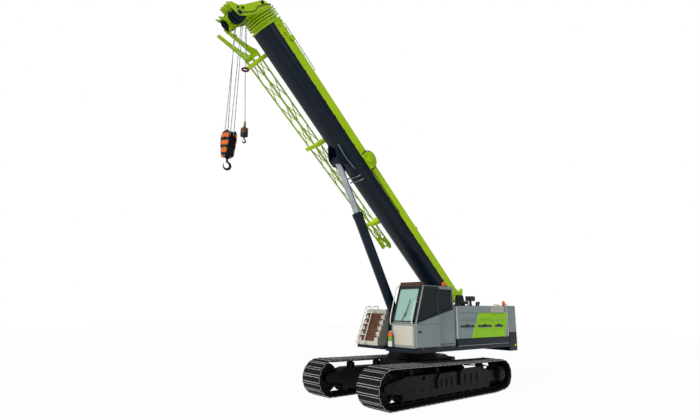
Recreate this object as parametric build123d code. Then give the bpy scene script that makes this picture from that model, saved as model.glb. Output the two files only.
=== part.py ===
from build123d import *
import os
from math import acos, atan2, ceil, cos, degrees, hypot, pi, radians, sin

# A telescopic-boom crane on two crawler tracks, at full size, in millimetres.
# +X is forward along the boom, +Y is the driver's side, +Z is up, and the
# origin is on the ground under the slewing axis. The boom stands at its luff
# angle; the tracks are drawn in to their transport gauge.

# ---- driving sizes -------------------------------------------------------
SEAT = 0.3                    # running gap between pieces that carry each other
CLEAR = 8.0                   # gap round a piece that slides in another

# tracks
half_gauge = 1330.0           # slewing axis to the middle of a track, drawn in
shoe_width = 900.0
track_height = 1150.0
belt_thickness = 110.0        # shoe face to the inside of the chain
shoe_step = 26.0              # how far the shoe plates stand out of the chain
shoe_pitch = 232.0
idler_x = 2825.0
sprocket_x = -2900.0
sprocket_z = 560.0
sprocket_radius = 500.0       # to the shoe faces
last_roller_x = -2400.0
last_roller_radius = 240.0    # to the shoe faces
roller_radius = 115.0
roller_count = 10
carrier_radius = 75.0
carrier_places = (1700.0, 450.0, -900.0, -2050.0)
frame_half = 230.0            # half width of a track frame
frame_low = 360.0
frame_drop = 30.0             # from the carrier rollers down to the top of a track frame
frame_front = 2260.0
frame_rear = -2330.0
frame_holes = ((1260.0, 740.0, 60.0), (-220.0, 690.0, 70.0))   # x, z, radius

# beams that let the tracks slide outward
beam_places = (20.0, -1300.0)
beam_width = 340.0
beam_low = 420.0
beam_high = 820.0
beam_wall = 45.0              # wall of the housing round a beam
carbody_half = 850.0

box_halves = (460.0, 615.0)    # half lengths of the boxes that hold a track's beams
box_tops = (840.0, 900.0)

# slewing ring
ring_bottom = 1250.0
ring_joint = 1400.0
ring_radius = 820.0
deck_low = 1460.0
deck_high = 1560.0

# houses on both sides of the boom
house_side = 1500.0
house_inner = 540.0
house_front_left = -620.0
house_front_right = -300.0
house_rear = -3860.0
house_sill = 1830.0
door_top = 2700.0
house_top = 2940.0
sheet = 40.0                  # thickness of the house panels
door_gap = 10.0
door_post = 15.0              # half of the post between two doors
door_edges_left = (-700.0, -1720.0, -2830.0, -3600.0)
door_edges_right = (-1000.0, -2300.0, -3600.0)

# counterweight
weight_front = -3900.0
weight_rear = -4750.0
weight_low = 1300.0
weight_split = 1990.0
weight_top = 2980.0
weight_corner = 320.0

# cab
cab_inner = 468.0
cab_side = 1450.0
cab_floor = 1611.0
cab_belt = 2352.0
cab_top = 3560.0
cab_front = 1509.0
cab_roof_front = 1109.0
cab_rear = -560.0
cab_roof_rear = -440.0
cab_wall = 45.0
door_skin = 45.0
door_rear = 330.0
glass = 8.0

# boom
luff_angle = 43.0
foot_x = -2260.0
foot_z = 3160.0
boom_half_width = 420.0
boom_top = 250.0
boom_belly = -540.0
belly_radius = 340.0
belly_bends = 5               # flats that each lower corner is bent from
shoulder = 45.0               # bevel of each upper corner
boom_joint = -130.0           # where the two half shells of the base are welded
shell = 12.0
section_step = 40.0           # how much smaller each section is, all round
boom_start = 350.0
base_end = 11860.0
collar_thickness = 45.0
collar_gap = 35.0
collar_proud = 30.0
section_count = 4
reel_along = 6590.0           # cable reel on the left of the base section
reel_up = 50.0
reel_radius = 300.0
section_start = 420.0
foot_pin_radius = 70.0

# luffing cylinder, in boom coordinates (along, up) and machine coordinates
eye_along = 7240.0
eye_up = -740.0
base_pin_x = 710.0
base_pin_z = 2300.0
barrel_radius = 165.0
rod_radius = 105.0
rod_length = 3850.0
barrel_length = 4100.0
pin_radius = 65.0
foot_eye_half = 150.0         # half width of the barrel's foot
rod_eye_half = 185.0          # half width of the rod's eye
eye_ratio = 0.19              # how far the rod's eye turns on the boom as the boom luffs

# boom head
head_start = base_end + section_count * (collar_thickness + collar_gap) + collar_thickness
head_axle_along = head_start + 245.0
head_axle_up = -1035.0
sheave_radius = 225.0
sheave_width = 46.0
groove_half = 15.0
groove_depth = 28.0
cheek = 25.0
left_sheaves = (175.0, 265.0, 400.0)
right_sheaves = (-175.0, -265.0)
top_sheave_along = head_start + 195.0
top_sheave_up = -90.0
top_sheave_radius = 130.0

# hooks
rope_radius = 11.0
rope_lap = 12.0               # how far a rope runs on over its sheave
main_back = 165.85            # from the head's axle back to the hook block
main_top = 7500.0
main_bottom = 6760.0
aux_back = 355.85             # the light hook hangs a little behind its sheave
aux_y = 520.0
aux_top = 7500.0
aux_bottom = 7250.0

# lattice jib, stowed along the driver's far side of the boom
jib_y = -1170.0
jib_foot_up = -260.0
jib_tip_up = -120.0
jib_foot_along = 11500.0
jib_tip_along = 3350.0
jib_foot_width = 375.0
jib_foot_depth = 300.0
jib_tip_width = 260.0
jib_tip_depth = 180.0
jib_bays = 9
nose_lap = 160.0              # how far the nose plates reach along the chords
chord_radius = 27.0
lace_radius = 14.0

# winches, between the houses behind the boom foot
winch_y = 330.0
winch_radius = 190.0
winches = (("main_winch_drum", -2950.0, 2000.0), ("aux_winch_drum", -3450.0, 2350.0))


# flat sides that round pieces are drawn with
tube_sides = 8                # tubes and ropes
pin_sides = 12
sheave_sides = 16
wheel_sides = 24              # wheels, and pins that two frames turn on
ring_sides = 24


# ---- small tools ---------------------------------------------------------
def block(x, y, z):
    size = (x[1] - x[0], y[1] - y[0], z[1] - z[0])
    middle = ((x[0] + x[1]) / 2, (y[0] + y[1]) / 2, (z[0] + z[1]) / 2)
    return Pos(*middle) * Box(*size)


def side_plate(points, y0, y1):
    """A plate seen from the side: (x, z) corners, from y0 to y1."""
    outline = Polyline(*[(x, y0, z) for x, z in points], close=True)
    return extrude(make_face(outline), amount=y1 - y0, dir=(0, 1, 0))


def flat_plate(points, z0, z1):
    """A plate seen from above: (x, y) corners, from z0 to z1."""
    outline = Polyline(*[(x, y, z0) for x, y in points], close=True)
    return extrude(make_face(outline), amount=z1 - z0, dir=(0, 0, 1))


def prism(start, end, section):
    a, b = Vector(*start), Vector(*end)
    way = (b - a).normalized()
    across = (1, 0, 0) if abs(way.Y) > 0.9 else (0, 1, 0)
    return extrude(Plane(origin=a, x_dir=across, z_dir=way) * section, amount=(b - a).length, dir=way)


def bar(start, end, radius, sides=pin_sides):
    """A round bar: its corners lie on the radius, so it never reaches past it."""
    return prism(start, end, RegularPolygon(radius, sides))


def bore(start, end, radius, sides=pin_sides):
    """A round hole: its flats lie on the radius, each facing a corner of the bar inside."""
    return prism(start, end, RegularPolygon(radius, sides, major_radius=False, rotation=180 / sides))


def axle(x, z, radius, y0, y1, sides=pin_sides):
    """A round bar across the machine, from y0 to y1."""
    return bar((x, min(y0, y1), z), (x, max(y0, y1), z), radius, sides)


def cross_bore(x, z, radius, y0, y1, sides=pin_sides):
    """A round hole across the machine, from y0 to y1."""
    return bore((x, min(y0, y1), z), (x, max(y0, y1), z), radius, sides)


def mirrored(pieces):
    return [mirror(piece, about=Plane.XZ) for piece in pieces]


def solids_of(piece):
    return piece.solids() if hasattr(piece, "solids") else [piece]


def write(name, *pieces):
    found = [solid for piece in pieces for solid in solids_of(piece)]
    export_step(Compound(children=found), "parts/" + name + ".step")


# ---- undercarriage -------------------------------------------------------
def belt_runs(inset):
    """The track's loop as (centre, radius, start angle, end angle) arcs, joined by straights."""
    wheels = [
        (idler_x, track_height / 2, track_height / 2 - inset),
        (sprocket_x, sprocket_z, sprocket_radius - inset),
        (last_roller_x, last_roller_radius, last_roller_radius - inset),
    ]
    leave = []
    for i, (x, z, r) in enumerate(wheels):
        nx, nz, nr = wheels[(i + 1) % 3]
        apart = hypot(nx - x, nz - z)
        leave.append(atan2(nz - z, nx - x) - acos((r - nr) / apart))
    arcs = []
    for i, wheel in enumerate(wheels):
        start = leave[i - 1]
        turn = (leave[i] - start) % (2 * pi)
        arcs.append((wheel, start, turn))
    return arcs


def belt_outline(inset, angle_step):
    """The loop as a polygon whose sides touch the arcs from outside, so no wheel cuts into it."""
    points = []
    for (x, z, r), start, turn in belt_runs(inset):
        count = max(2, ceil(turn / angle_step))
        out = r / cos(turn / count / 2)
        for k in range(count):
            angle = start + turn * (k + 0.5) / count
            points.append((x + out * cos(angle), z + out * sin(angle)))
    return points


def top_run(x, inset):
    """The height of the loop's top run at x, a distance inside the shoe faces."""
    (centre_x, centre_z, radius), start, turn = belt_runs(inset)[0]
    angle = start + turn
    return centre_z + (radius - (x - centre_x) * cos(angle)) / sin(angle)


def along_belt(path, distance):
    """The point at a distance along a closed list of points."""
    for i, a in enumerate(path):
        b = path[(i + 1) % len(path)]
        run = hypot(b[0] - a[0], b[1] - a[1])
        if distance <= run:
            part = distance / run
            return (a[0] + part * (b[0] - a[0]), a[1] + part * (b[1] - a[1]))
        distance -= run
    return path[0]


def path_length(path):
    return sum(hypot(b[0] - a[0], b[1] - a[1]) for a, b in zip(path, path[1:] + path[:1]))


def shoe_outline():
    """The loop's outside: flat shoe plates with a gap between each two."""
    outer = belt_outline(0, radians(5))
    inner = belt_outline(shoe_step, radians(5))
    outer_length, inner_length = path_length(outer), path_length(inner)
    count = round(outer_length / shoe_pitch)
    points = []
    for k in range(count):
        for level, length, part in (
            (inner, inner_length, 0.0),
            (outer, outer_length, 0.08),
            (outer, outer_length, 0.92),
        ):
            points.append(along_belt(level, length * (k + part) / count))
    return points


def track_shoes():
    loop = side_plate(shoe_outline(), half_gauge - shoe_width / 2, half_gauge + shoe_width / 2)
    inside = side_plate(belt_outline(belt_thickness, radians(12)), half_gauge - shoe_width,
                        half_gauge + shoe_width)
    return loop - inside


def carrier_z(x):
    return top_run(x, belt_thickness) - carrier_radius - SEAT


def frame_top(x):
    return carrier_z(x) - carrier_radius - frame_drop


def track_frame(side):
    y0, y1 = half_gauge - frame_half, half_gauge + frame_half
    profile = [
        (frame_front, frame_low), (frame_front, frame_top(frame_front) - 60),
        (frame_front - 250, frame_top(frame_front - 250)), (frame_rear + 200, frame_top(frame_rear + 200)),
        (frame_rear, frame_top(frame_rear) - 60), (frame_rear, frame_low),
    ]
    body = side_plate(profile, y0, y1)
    skirt = 30.0
    roller_z = belt_thickness + roller_radius + SEAT
    for y in (y0, y1 - skirt):
        body += block((frame_rear + 60, frame_front - 40), (y, y + skirt), (roller_z - 45, frame_low))
    idler_z = track_height / 2
    fork = 120.0
    for y in (y0, y1 - fork):
        body += side_plate(
            [(frame_front, frame_low), (idler_x, idler_z - 130), (idler_x + 130, idler_z - 60),
             (idler_x + 130, idler_z + 60), (idler_x, idler_z + 130),
             (frame_front, frame_top(frame_front) - 60)],
            y, y + fork)
    for y in (y0, y1 - fork):
        body += side_plate(
            [(frame_rear, frame_low), (frame_rear, frame_top(frame_rear) - 60),
             (sprocket_x, sprocket_z + 150),
             (sprocket_x - 140, sprocket_z), (sprocket_x, sprocket_z - 150)],
            y, y + fork)
    for x, z, r in frame_holes:
        body -= cross_bore(x, z, r, y0 - 10, y1 + 10)
    for x in carrier_places:
        top = carrier_z(x) + 40
        low = frame_top(x) - 10
        body += block((x - 70, x + 70), (half_gauge - 130, half_gauge - 100), (low, top))
        body += block((x - 70, x + 70), (half_gauge + 100, half_gauge + 130), (low, top))
    for x, half, top in zip(beam_places, box_halves, box_tops):
        x = beam_middle(x, side)
        body += side_plate(
            [(x - half, beam_low - 30), (x + half, beam_low - 30), (x + half, top - 160),
             (x + half - 140, top), (x - half + 60, top), (x - half, top - 60)],
            y1 - 1, y1 + 70)
        for rib in (-half * 0.55, 0, half * 0.55):
            body += block((x + rib - 12, x + rib + 12), (y1 + 69, y1 + 95), (beam_low, top - 170))
    for beam in track_beams(side):
        body += beam
    return body


def track_rollers():
    z = belt_thickness + roller_radius + SEAT
    first, last = frame_front - 130, last_roller_x + 130
    rollers = []
    for k in range(roller_count):
        x = first + (last - first) * k / (roller_count - 1)
        wheel = axle(x, z, roller_radius, half_gauge - 165, half_gauge + 165)
        reach = frame_half - 30 - SEAT
        pin = axle(x, z, 42, half_gauge - reach, half_gauge + reach, 6)
        rollers.append(wheel + pin)
    return rollers


def carrier_rollers():
    y0, y1 = half_gauge - 100 + SEAT, half_gauge + 100 - SEAT
    return [axle(x, carrier_z(x), carrier_radius, y0, y1) for x in carrier_places]


def idler():
    r = track_height / 2 - belt_thickness - SEAT
    side = frame_half - 120 - SEAT
    wheel = axle(idler_x, track_height / 2, r, half_gauge - 80, half_gauge + 80, wheel_sides)
    for edge in ((half_gauge + 40, half_gauge + 81), (half_gauge - 81, half_gauge - 40)):
        wheel -= axle(idler_x, track_height / 2, r - 90, *edge)
    return wheel + axle(idler_x, track_height / 2, 120, half_gauge - side, half_gauge + side)


def sprocket():
    z = sprocket_z
    r = sprocket_radius - belt_thickness - SEAT
    teeth = 13
    points = []
    for k in range(teeth):
        for part, radius in ((0.0, r - 60), (0.22, r - 60), (0.40, r), (0.60, r), (0.78, r - 60)):
            angle = 2 * pi * (k + part) / teeth
            points.append((sprocket_x + radius * cos(angle), z + radius * sin(angle)))
    wheel = side_plate(points, half_gauge - 60, half_gauge + 60)
    side = frame_half - 120 - SEAT
    return wheel + axle(sprocket_x, z, 200, half_gauge - side, half_gauge + side)


def final_drive():
    """The gear housing on the outside of the sprocket plates."""
    y1 = half_gauge + frame_half
    flange = axle(sprocket_x, sprocket_z, 235, y1 + SEAT, y1 + 60, wheel_sides)
    return flange + axle(sprocket_x, sprocket_z, 170, y1 + 59, y1 + 130, wheel_sides)


def beam_middle(x, side):
    """A beam's own place: the other track's beam lies beside it, so side is 1 or -1."""
    return x + side * (beam_wall / 2 + CLEAR + beam_width / 2)


def track_beams(side):
    """The square beams of one track."""
    inner_end = -(carbody_half - 60)
    beams = []
    for x in beam_places:
        middle = beam_middle(x, side)
        beams.append(block((middle - beam_width / 2, middle + beam_width / 2),
                           (inner_end, half_gauge - frame_half + 1), (beam_low, beam_high)))
    return beams


def carbody():
    half = beam_width + beam_wall / 2 + CLEAR
    low, high = beam_low - beam_wall - CLEAR, beam_high + beam_wall + CLEAR
    body = None
    for x in beam_places:
        edge = half + beam_wall + CLEAR
        outer = block((x - edge, x + edge), (-carbody_half, carbody_half), (low, high))
        for side in (1, -1):
            middle = beam_middle(x, side)
            reach = beam_width / 2 + CLEAR
            hole = block((middle - reach, middle + reach), (-carbody_half - 1, carbody_half + 1),
                         (beam_low - CLEAR, beam_high + CLEAR))
            outer -= hole
        body = outer if body is None else body + outer
    rear, front = beam_places[1] + half, beam_places[0] - half
    body += block((rear, front), (-620, 620), (low + 60, high))
    body += flat_plate([(-1500, -700), (-1100, -820), (700, -820), (1000, -600),
                        (1000, 600), (700, 820), (-1100, 820), (-1500, 700)], high - 1, ring_bottom - 90)
    body += bar((0, 0, ring_bottom - 91), (0, 0, ring_bottom), ring_radius + 60, ring_sides)
    return body


def slewing_ring():
    ring = bar((0, 0, ring_bottom), (0, 0, ring_joint), ring_radius, ring_sides)
    return ring - bar((0, 0, ring_bottom - 1), (0, 0, ring_joint + 1), ring_radius - 170, ring_sides)


# ---- upperworks ----------------------------------------------------------
def upper_frame():
    frame = bar((0, 0, ring_joint + SEAT), (0, 0, deck_low + 1), ring_radius - 40, ring_sides)
    frame += block((weight_front + SEAT, 120), (-house_side, house_side), (deck_low, deck_high))
    frame += block((120, cab_front), (190, 1505), (deck_low, deck_high))
    frame += block((120, 1230), (-house_side, -190), (deck_low, deck_high))
    plate_inner = boom_half_width + 12
    boom_plate = [
        (house_rear + 20, deck_high), (-700, deck_high), (-900, 1900), (foot_x + 260, foot_z - 120),
        (foot_x + 200, foot_z + 190), (foot_x - 200, foot_z + 190), (foot_x - 330, foot_z - 200),
        (house_rear + 20, 2500),
    ]
    clevis = [
        (base_pin_x - 420, deck_high), (base_pin_x + 330, deck_high), (base_pin_x + 190, base_pin_z + 90),
        (base_pin_x + 90, base_pin_z + 190), (base_pin_x - 90, base_pin_z + 190),
        (base_pin_x - 190, base_pin_z + 90),
    ]
    for side in (1, -1):
        plate = sorted((side * plate_inner, side * (plate_inner + 45)))
        frame += side_plate(boom_plate, *plate)
        ear = sorted((side * 200, side * 250))
        frame += side_plate(clevis, *ear)
    sills = [block((house_rear, house_front_left), (house_inner, house_side), (deck_high - 1, house_sill))]
    sills.append(block((house_rear, house_front_right), (-house_side, -house_inner),
                       (deck_high - 1, house_sill)))
    for sill in sills:
        frame += sill
    frame += winch_stand() + cab_plinth()
    frame -= cross_bore(foot_x, foot_z, foot_pin_radius + SEAT, -600, 600, wheel_sides)
    frame -= block((base_pin_x - 90, base_pin_x + 160), (-190, 190), (deck_low - 30, deck_low + 5))
    return frame - cross_bore(base_pin_x, base_pin_z, pin_radius + SEAT, -300, 300)


def foot_pin():
    reach = boom_half_width + 12 + 45
    return axle(foot_x, foot_z, foot_pin_radius, -reach - 15, reach + 15, wheel_sides)


def base_pins():
    """Two short pins hold the cylinder's foot from its two sides."""
    left = axle(base_pin_x, base_pin_z, pin_radius, barrel_radius + 10, 262)
    return [left] + mirrored([left])


def house(edges, front):
    """One side's engine house on +Y: a roof, ends, an inner wall and posts, open where doors close it."""
    walls = block((house_rear, front), (house_inner, house_side), (house_sill + SEAT, house_top))
    walls -= block((house_rear + sheet, front - sheet), (house_inner + sheet, house_side - sheet),
                   (house_sill - 1, house_top - sheet))
    for rear, fore in zip(edges[1:], edges[:-1]):
        walls -= block((rear + door_post, fore - door_post), (house_side - sheet - 1, house_side + 1),
                       (house_sill - 1, door_top))
    slope = [(front - 900, house_top + 1), (front + 1, house_top - 25), (front + 1, house_top + 1)]
    return walls - side_plate(slope, 0, house_side + 1)


def house_door(rear, fore):
    """A door leaf with a pressed-in field and its hinge edge at the front."""
    rear, fore = rear + door_post, fore - door_post
    leaf = block((rear + door_gap, fore - door_gap), (house_side - sheet, house_side),
                 (house_sill + door_gap, door_top - door_gap))
    field = block((rear + 90, fore - 90), (house_side - 10, house_side + 1),
                  (house_sill + 90, door_top - 260))
    latch = block((rear + 160, fore - 160), (house_side, house_side + 18), (door_top - 200, door_top - 165))
    leaf = leaf - field + latch
    for z in (house_sill + 100, (house_sill + door_top) / 2, door_top - 180):
        leaf += block((fore - door_gap - 1, fore - SEAT), (house_side - 30, house_side), (z, z + 80))
    return leaf


def engine():
    return block((-3300, -1250), (house_inner + 130, house_side - 190), (house_sill + 20, 2520))


def engine_mounts():
    return [block((x - 70, x + 70), (house_inner + 200, house_side - 260),
                  (house_sill + SEAT, house_sill + 20))
            for x in (-3100, -1450)]


def counterweight(low, high):
    cut = weight_corner
    outline = [
        (weight_front, -house_side), (weight_rear + cut, -house_side), (weight_rear, -house_side + cut),
        (weight_rear, house_side - cut), (weight_rear + cut, house_side), (weight_front, house_side),
    ]
    return flat_plate(outline, low, high)


def winch_drum(x, z):
    half = winch_y - 12
    drum = axle(x, z, winch_radius - 50, -half + 1, half - 1, pin_sides)
    for y in (-half, half - 25):
        drum += axle(x, z, winch_radius, y, y + 25, sheave_sides)
    return drum


def winch_stand():
    stand = None
    for side in (1, -1):
        edge = sorted((side * (winch_y - 12 + SEAT), side * (winch_y + 25)))
        plate = side_plate([(-3800, deck_high), (-2700, deck_high), (-2700, 2150), (-3150, 2650),
                            (-3700, 2650),
                            (-3800, 2450)], *edge)
        stand = plate if stand is None else stand + plate
    return stand + block((-3845, -3800), (-winch_y - 25, winch_y + 25), (deck_high, 2450))


def cab_profile(inset, floor, top):
    """The cab seen from the side, with its raked windscreen."""
    rake = (cab_front - cab_roof_front) / (cab_top - cab_belt)
    return [
        (cab_rear + inset, floor), (cab_front - inset, floor), (cab_front - inset, cab_belt),
        (cab_front - inset - rake * (top - cab_belt), top), (cab_roof_rear + inset, top),
        (cab_rear + inset, cab_belt + 450),
    ]


def cab_shell():
    shell_ = side_plate(cab_profile(0, cab_floor, cab_top), cab_inner, cab_side)
    shell_ -= side_plate(cab_profile(cab_wall, cab_floor + cab_wall, cab_top - cab_wall),
                         cab_inner + cab_wall, cab_side - cab_wall)
    rake = (cab_front - cab_roof_front) / (cab_top - cab_belt)
    screen = [
        (cab_front + 60, cab_belt + 60), (cab_front - 90, cab_belt + 60),
        (cab_front - 90 - rake * 1050, cab_top - 98), (cab_front + 60 - rake * 1050, cab_top - 98),
    ]
    shell_ -= side_plate(screen, cab_inner + 80, cab_side - 80)
    doorway = [(door_rear + 40, cab_floor + 90), (cab_front - 80, cab_floor + 90),
               (cab_front - 80, cab_belt),
               (cab_roof_front - 40, cab_top - 110), (door_rear + 40, cab_top - 110)]
    shell_ -= side_plate(doorway, cab_side - cab_wall - 1, cab_side + 1)
    rear_side = [(door_rear - 60, cab_belt + 330), (door_rear - 60, cab_top - 120),
                 (cab_roof_rear + 90, cab_top - 120),
                 (cab_rear + 150, cab_belt + 520)]
    shell_ -= side_plate(rear_side, cab_side - cab_wall - 1, cab_side + 1)
    far_side = [(cab_front - 110, cab_belt + 60), (cab_roof_front - 60, cab_top - 120),
                (cab_roof_rear + 120, cab_top - 120), (cab_rear + 150, cab_belt + 60)]
    shell_ -= side_plate(far_side, cab_inner - 1, cab_inner + cab_wall + 1)
    shell_ -= block((cab_rear - 10, cab_rear + 200), (cab_inner + 130, cab_side - 130),
                    (cab_belt + 120, cab_belt + 430))
    for z in (cab_floor + 30, cab_top - 100):
        shell_ += block((-520, 1080), (cab_side - 1, cab_side + 10 - SEAT), (z, z + 40))
    roof_light = block((-150, cab_roof_front - 180), (cab_inner + 160, cab_side - 160),
                       (cab_top - cab_wall - 1, cab_top + 1))
    return shell_ - roof_light


def door_profile(inset):
    rake = (cab_front - cab_roof_front) / (cab_top - cab_belt)
    top = cab_top - 20 - inset
    return [
        (door_rear + inset, cab_floor + 20 + inset), (cab_front - 20 - inset, cab_floor + 20 + inset),
        (cab_front - 20 - inset, cab_belt), (cab_front - 20 - inset - rake * (top - cab_belt), top),
        (door_rear + inset, top),
    ]


def cab_door():
    y0 = cab_side + 10
    door = side_plate(door_profile(0), y0, y0 + door_skin)
    return door - side_plate(door_window(0), y0 - 1, y0 + door_skin + 1)


def door_window(inset):
    rake = (cab_front - cab_roof_front) / (cab_top - cab_belt)
    top = cab_top - 110 - inset
    return [
        (cab_front - 100 - inset, cab_belt + 40 + inset),
        (cab_front - 100 - inset - rake * (top - cab_belt - 40), top),
        (door_rear + 90 + inset, top), (door_rear + 90 + inset, cab_belt + 320 + inset),
    ]


def cab_windows():
    """Panes seated in the cab's window holes, each a running gap smaller than its hole."""
    rake = (cab_front - cab_roof_front) / (cab_top - cab_belt)
    screen = [
        (cab_front - 20, cab_belt + 60 + SEAT), (cab_front - 20 - glass, cab_belt + 60 + SEAT),
        (cab_front - 20 - glass - rake * 1050, cab_top - 98 - SEAT),
        (cab_front - 20 - rake * 1050, cab_top - 98 - SEAT),
    ]
    panes = [side_plate(screen, cab_inner + 80 + SEAT, cab_side - 80 - SEAT)]
    rear_side = [(door_rear - 60 - SEAT, cab_belt + 331), (door_rear - 60 - SEAT, cab_top - 120 - SEAT),
                 (cab_roof_rear + 92, cab_top - 120 - SEAT), (cab_rear + 152, cab_belt + 521)]
    panes.append(side_plate(rear_side, cab_side - 30, cab_side - 30 + glass))
    far_side = [(cab_front - 112, cab_belt + 60 + SEAT), (cab_roof_front - 62, cab_top - 120 - SEAT),
                (cab_roof_rear + 122, cab_top - 120 - SEAT), (cab_rear + 150 + SEAT, cab_belt + 60 + SEAT)]
    panes.append(side_plate(far_side, cab_inner + 15, cab_inner + 15 + glass))
    panes.append(block((cab_rear + 15, cab_rear + 15 + glass),
                       (cab_inner + 130 + SEAT, cab_side - 130 - SEAT),
                       (cab_belt + 120 + SEAT, cab_belt + 430 - SEAT)))
    panes.append(block((-150 + SEAT, cab_roof_front - 180 - SEAT),
                       (cab_inner + 160 + SEAT, cab_side - 160 - SEAT),
                       (cab_top - 30, cab_top - 30 + glass)))
    return panes


def cab_seat():
    middle = (cab_inner + cab_side) / 2
    floor = cab_floor + cab_wall
    cushion = block((120, 620), (middle - 250, middle + 250), (floor + 420, floor + 540))
    back = side_plate([(60, floor + 420), (120, floor + 420), (120, floor + 540), (60, floor + 1180),
                       (-50, floor + 1180)], middle - 240, middle + 240)
    return cushion + back


def seat_stand():
    middle = (cab_inner + cab_side) / 2
    floor = cab_floor + cab_wall
    return block((170, 570), (middle - 200, middle + 200), (floor, floor + 420 - SEAT))


def cab_console():
    floor = cab_floor + cab_wall
    return side_plate([(1080, floor), (1380, floor), (1380, floor + 520), (1250, floor + 700),
                       (1180, floor + 680),
                       (1080, floor + 300)], cab_inner + 250, cab_side - 250)


def cab_plinth():
    """The dark frame box that the cab stands on."""
    return block((cab_rear + 10, cab_front - 20), (cab_inner + 30, cab_side + 50), (deck_high, cab_floor))


def roof_lamps():
    lamps = []
    for y in (cab_inner + 180, cab_side - 220):
        lamps.append(block((cab_roof_front - 320, cab_roof_front - 220), (y - 80, y + 80),
                           (cab_top, cab_top + 110)))
    return lamps


def beacons():
    cab_one = bar((-330, cab_side - 250, cab_top), (-330, cab_side - 250, cab_top + 170), 70)
    rear_one = bar((-4150, 1180, weight_top), (-4150, 1180, weight_top + 190), 65)
    return [cab_one, rear_one]


# ---- steps and tank on the other front corner ----------------------------
step_rear = -230.0
step_front_low = 1190.0
step_front_high = 760.0
step_top = 2780.0
step_count = 5


def step_box():
    y0, y1 = -house_side, -520.0
    rise = (step_top - 230 - cab_floor) / step_count
    run = (step_front_low - step_front_high) / step_count
    points = [(step_rear, deck_high), (step_front_low, deck_high), (step_front_low, cab_floor + 60)]
    x, z = step_front_low, cab_floor + 60
    for _ in range(step_count):
        z += rise
        points.append((x - 15, z - 6))
        x -= run
        points.append((x, z))
    points += [(step_front_high, step_top), (step_rear, step_top)]
    return side_plate(points, y0, y1)


def bent_rail(points, radius):
    """A round rail along a line of points, with a knuckle in each bend."""
    rail = None
    for a, b in zip(points, points[1:]):
        piece = bar(a, b, radius, tube_sides)
        rail = piece if rail is None else rail + piece
    for x, y, z in points[1:-1]:
        rail += axle(x, z, radius * 1.04, y - radius * 0.9, y + radius * 0.9, tube_sides)
    return rail


def grab_rails():
    """White ladder rails in front of the steps, with a loop to hold at the top."""
    left, right, r = -house_side + 40, -1080.0, 17.0
    low, high = (1330.0, 1600.0), (850.0, step_top + 100.0)
    ladder = None
    for y in (left, right):
        rail = bent_rail([(step_front_low + SEAT, y, low[1]), (low[0], y, low[1]), (high[0], y, high[1]),
                          (step_front_high - 160, y, high[1]),
                          (step_front_high - 160, y, step_top + SEAT)], r)
        ladder = rail if ladder is None else ladder + rail
    for k in range(3):
        part = (k + 0.8) / 3.4
        x = low[0] + part * (high[0] - low[0])
        z = low[1] + part * (high[1] - low[1])
        ladder += bar((x, left, z), (x, right, z), r - 2, tube_sides)
    return ladder


# ---- boom ----------------------------------------------------------------
boom_place = Plane(
    origin=(foot_x, 0, foot_z),
    x_dir=(cos(radians(luff_angle)), 0, sin(radians(luff_angle))),
    z_dir=(-sin(radians(luff_angle)), 0, cos(radians(luff_angle))),
).location


def on_boom(pieces):
    return [boom_place * piece for piece in pieces]


def boom_point(along, y, up):
    a = radians(luff_angle)
    return (foot_x + along * cos(a) - up * sin(a), y, foot_z + along * sin(a) + up * cos(a))


def boom_outline(inset, along):
    """The boom's section at a distance along it: flat sides and top, and a belly bent round."""
    half, top = boom_half_width - inset, boom_top - inset
    r, bevel = belly_radius - inset, shoulder - inset / 5
    right = []
    for k in range(belly_bends + 1):
        turn = radians(90 * k / belly_bends)
        right.append((boom_half_width - belly_radius + r * sin(turn),
                      boom_belly + belly_radius - r * cos(turn)))
    right += [(half, top - bevel), (half - bevel, top)]
    left = [(-y, z) for y, z in reversed(right)]
    return make_face(Polyline(*[(along, y, z) for y, z in right + left], close=True))


def boom_solid(inset, start, end):
    return extrude(boom_outline(inset, start), amount=end - start, dir=(1, 0, 0))


def tube(inset, start, end, wall):
    outer = boom_solid(inset, start, end)
    return outer - boom_solid(inset + wall, start - 1, end + 1)


def collar(inner_inset, start, end):
    """A thick ring round a section's end, as large as the base's collar."""
    return boom_solid(-collar_proud, start, end) - boom_solid(inner_inset, start - 1, end + 1)


def guide_pads(inset, start, end):
    """Wear pads inside a section's mouth, a running gap from the next section."""
    half, top, low = boom_half_width - inset, boom_top - inset, boom_belly + inset
    wall, out = shell / 2, section_step - SEAT
    pad_set = block((start, end), (-60, 60), (low + wall, low + out))
    for side in (1, -1):
        edge = sorted((side * (half - wall), side * (half - out)))
        pad_set += block((start, end), edge, (boom_joint + 20, boom_joint + 170))
        edge = sorted((side * half * 0.3, side * half * 0.6))
        pad_set += block((start, end), edge, (top - out, top - wall))
    return pad_set


def base_shells():
    whole = tube(0, boom_start, base_end, shell) + guide_pads(0, base_end - 150, base_end)
    lower = whole & block((0, base_end + 10), (-500, 500), (boom_belly - 10, boom_joint))
    upper = whole & block((0, base_end + 10), (-500, 500), (boom_joint, boom_top + 10))
    y = boom_half_width
    reel = axle(reel_along, reel_up, reel_radius, y - 1, y + 70, wheel_sides)
    reel += axle(reel_along, reel_up, reel_radius * 0.4, y + 69, y + 95)
    reel -= block((reel_along - 500, reel_along + 500), (y - 10, y + 200), (-900, boom_joint + 15))
    return lower, upper + reel


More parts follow.
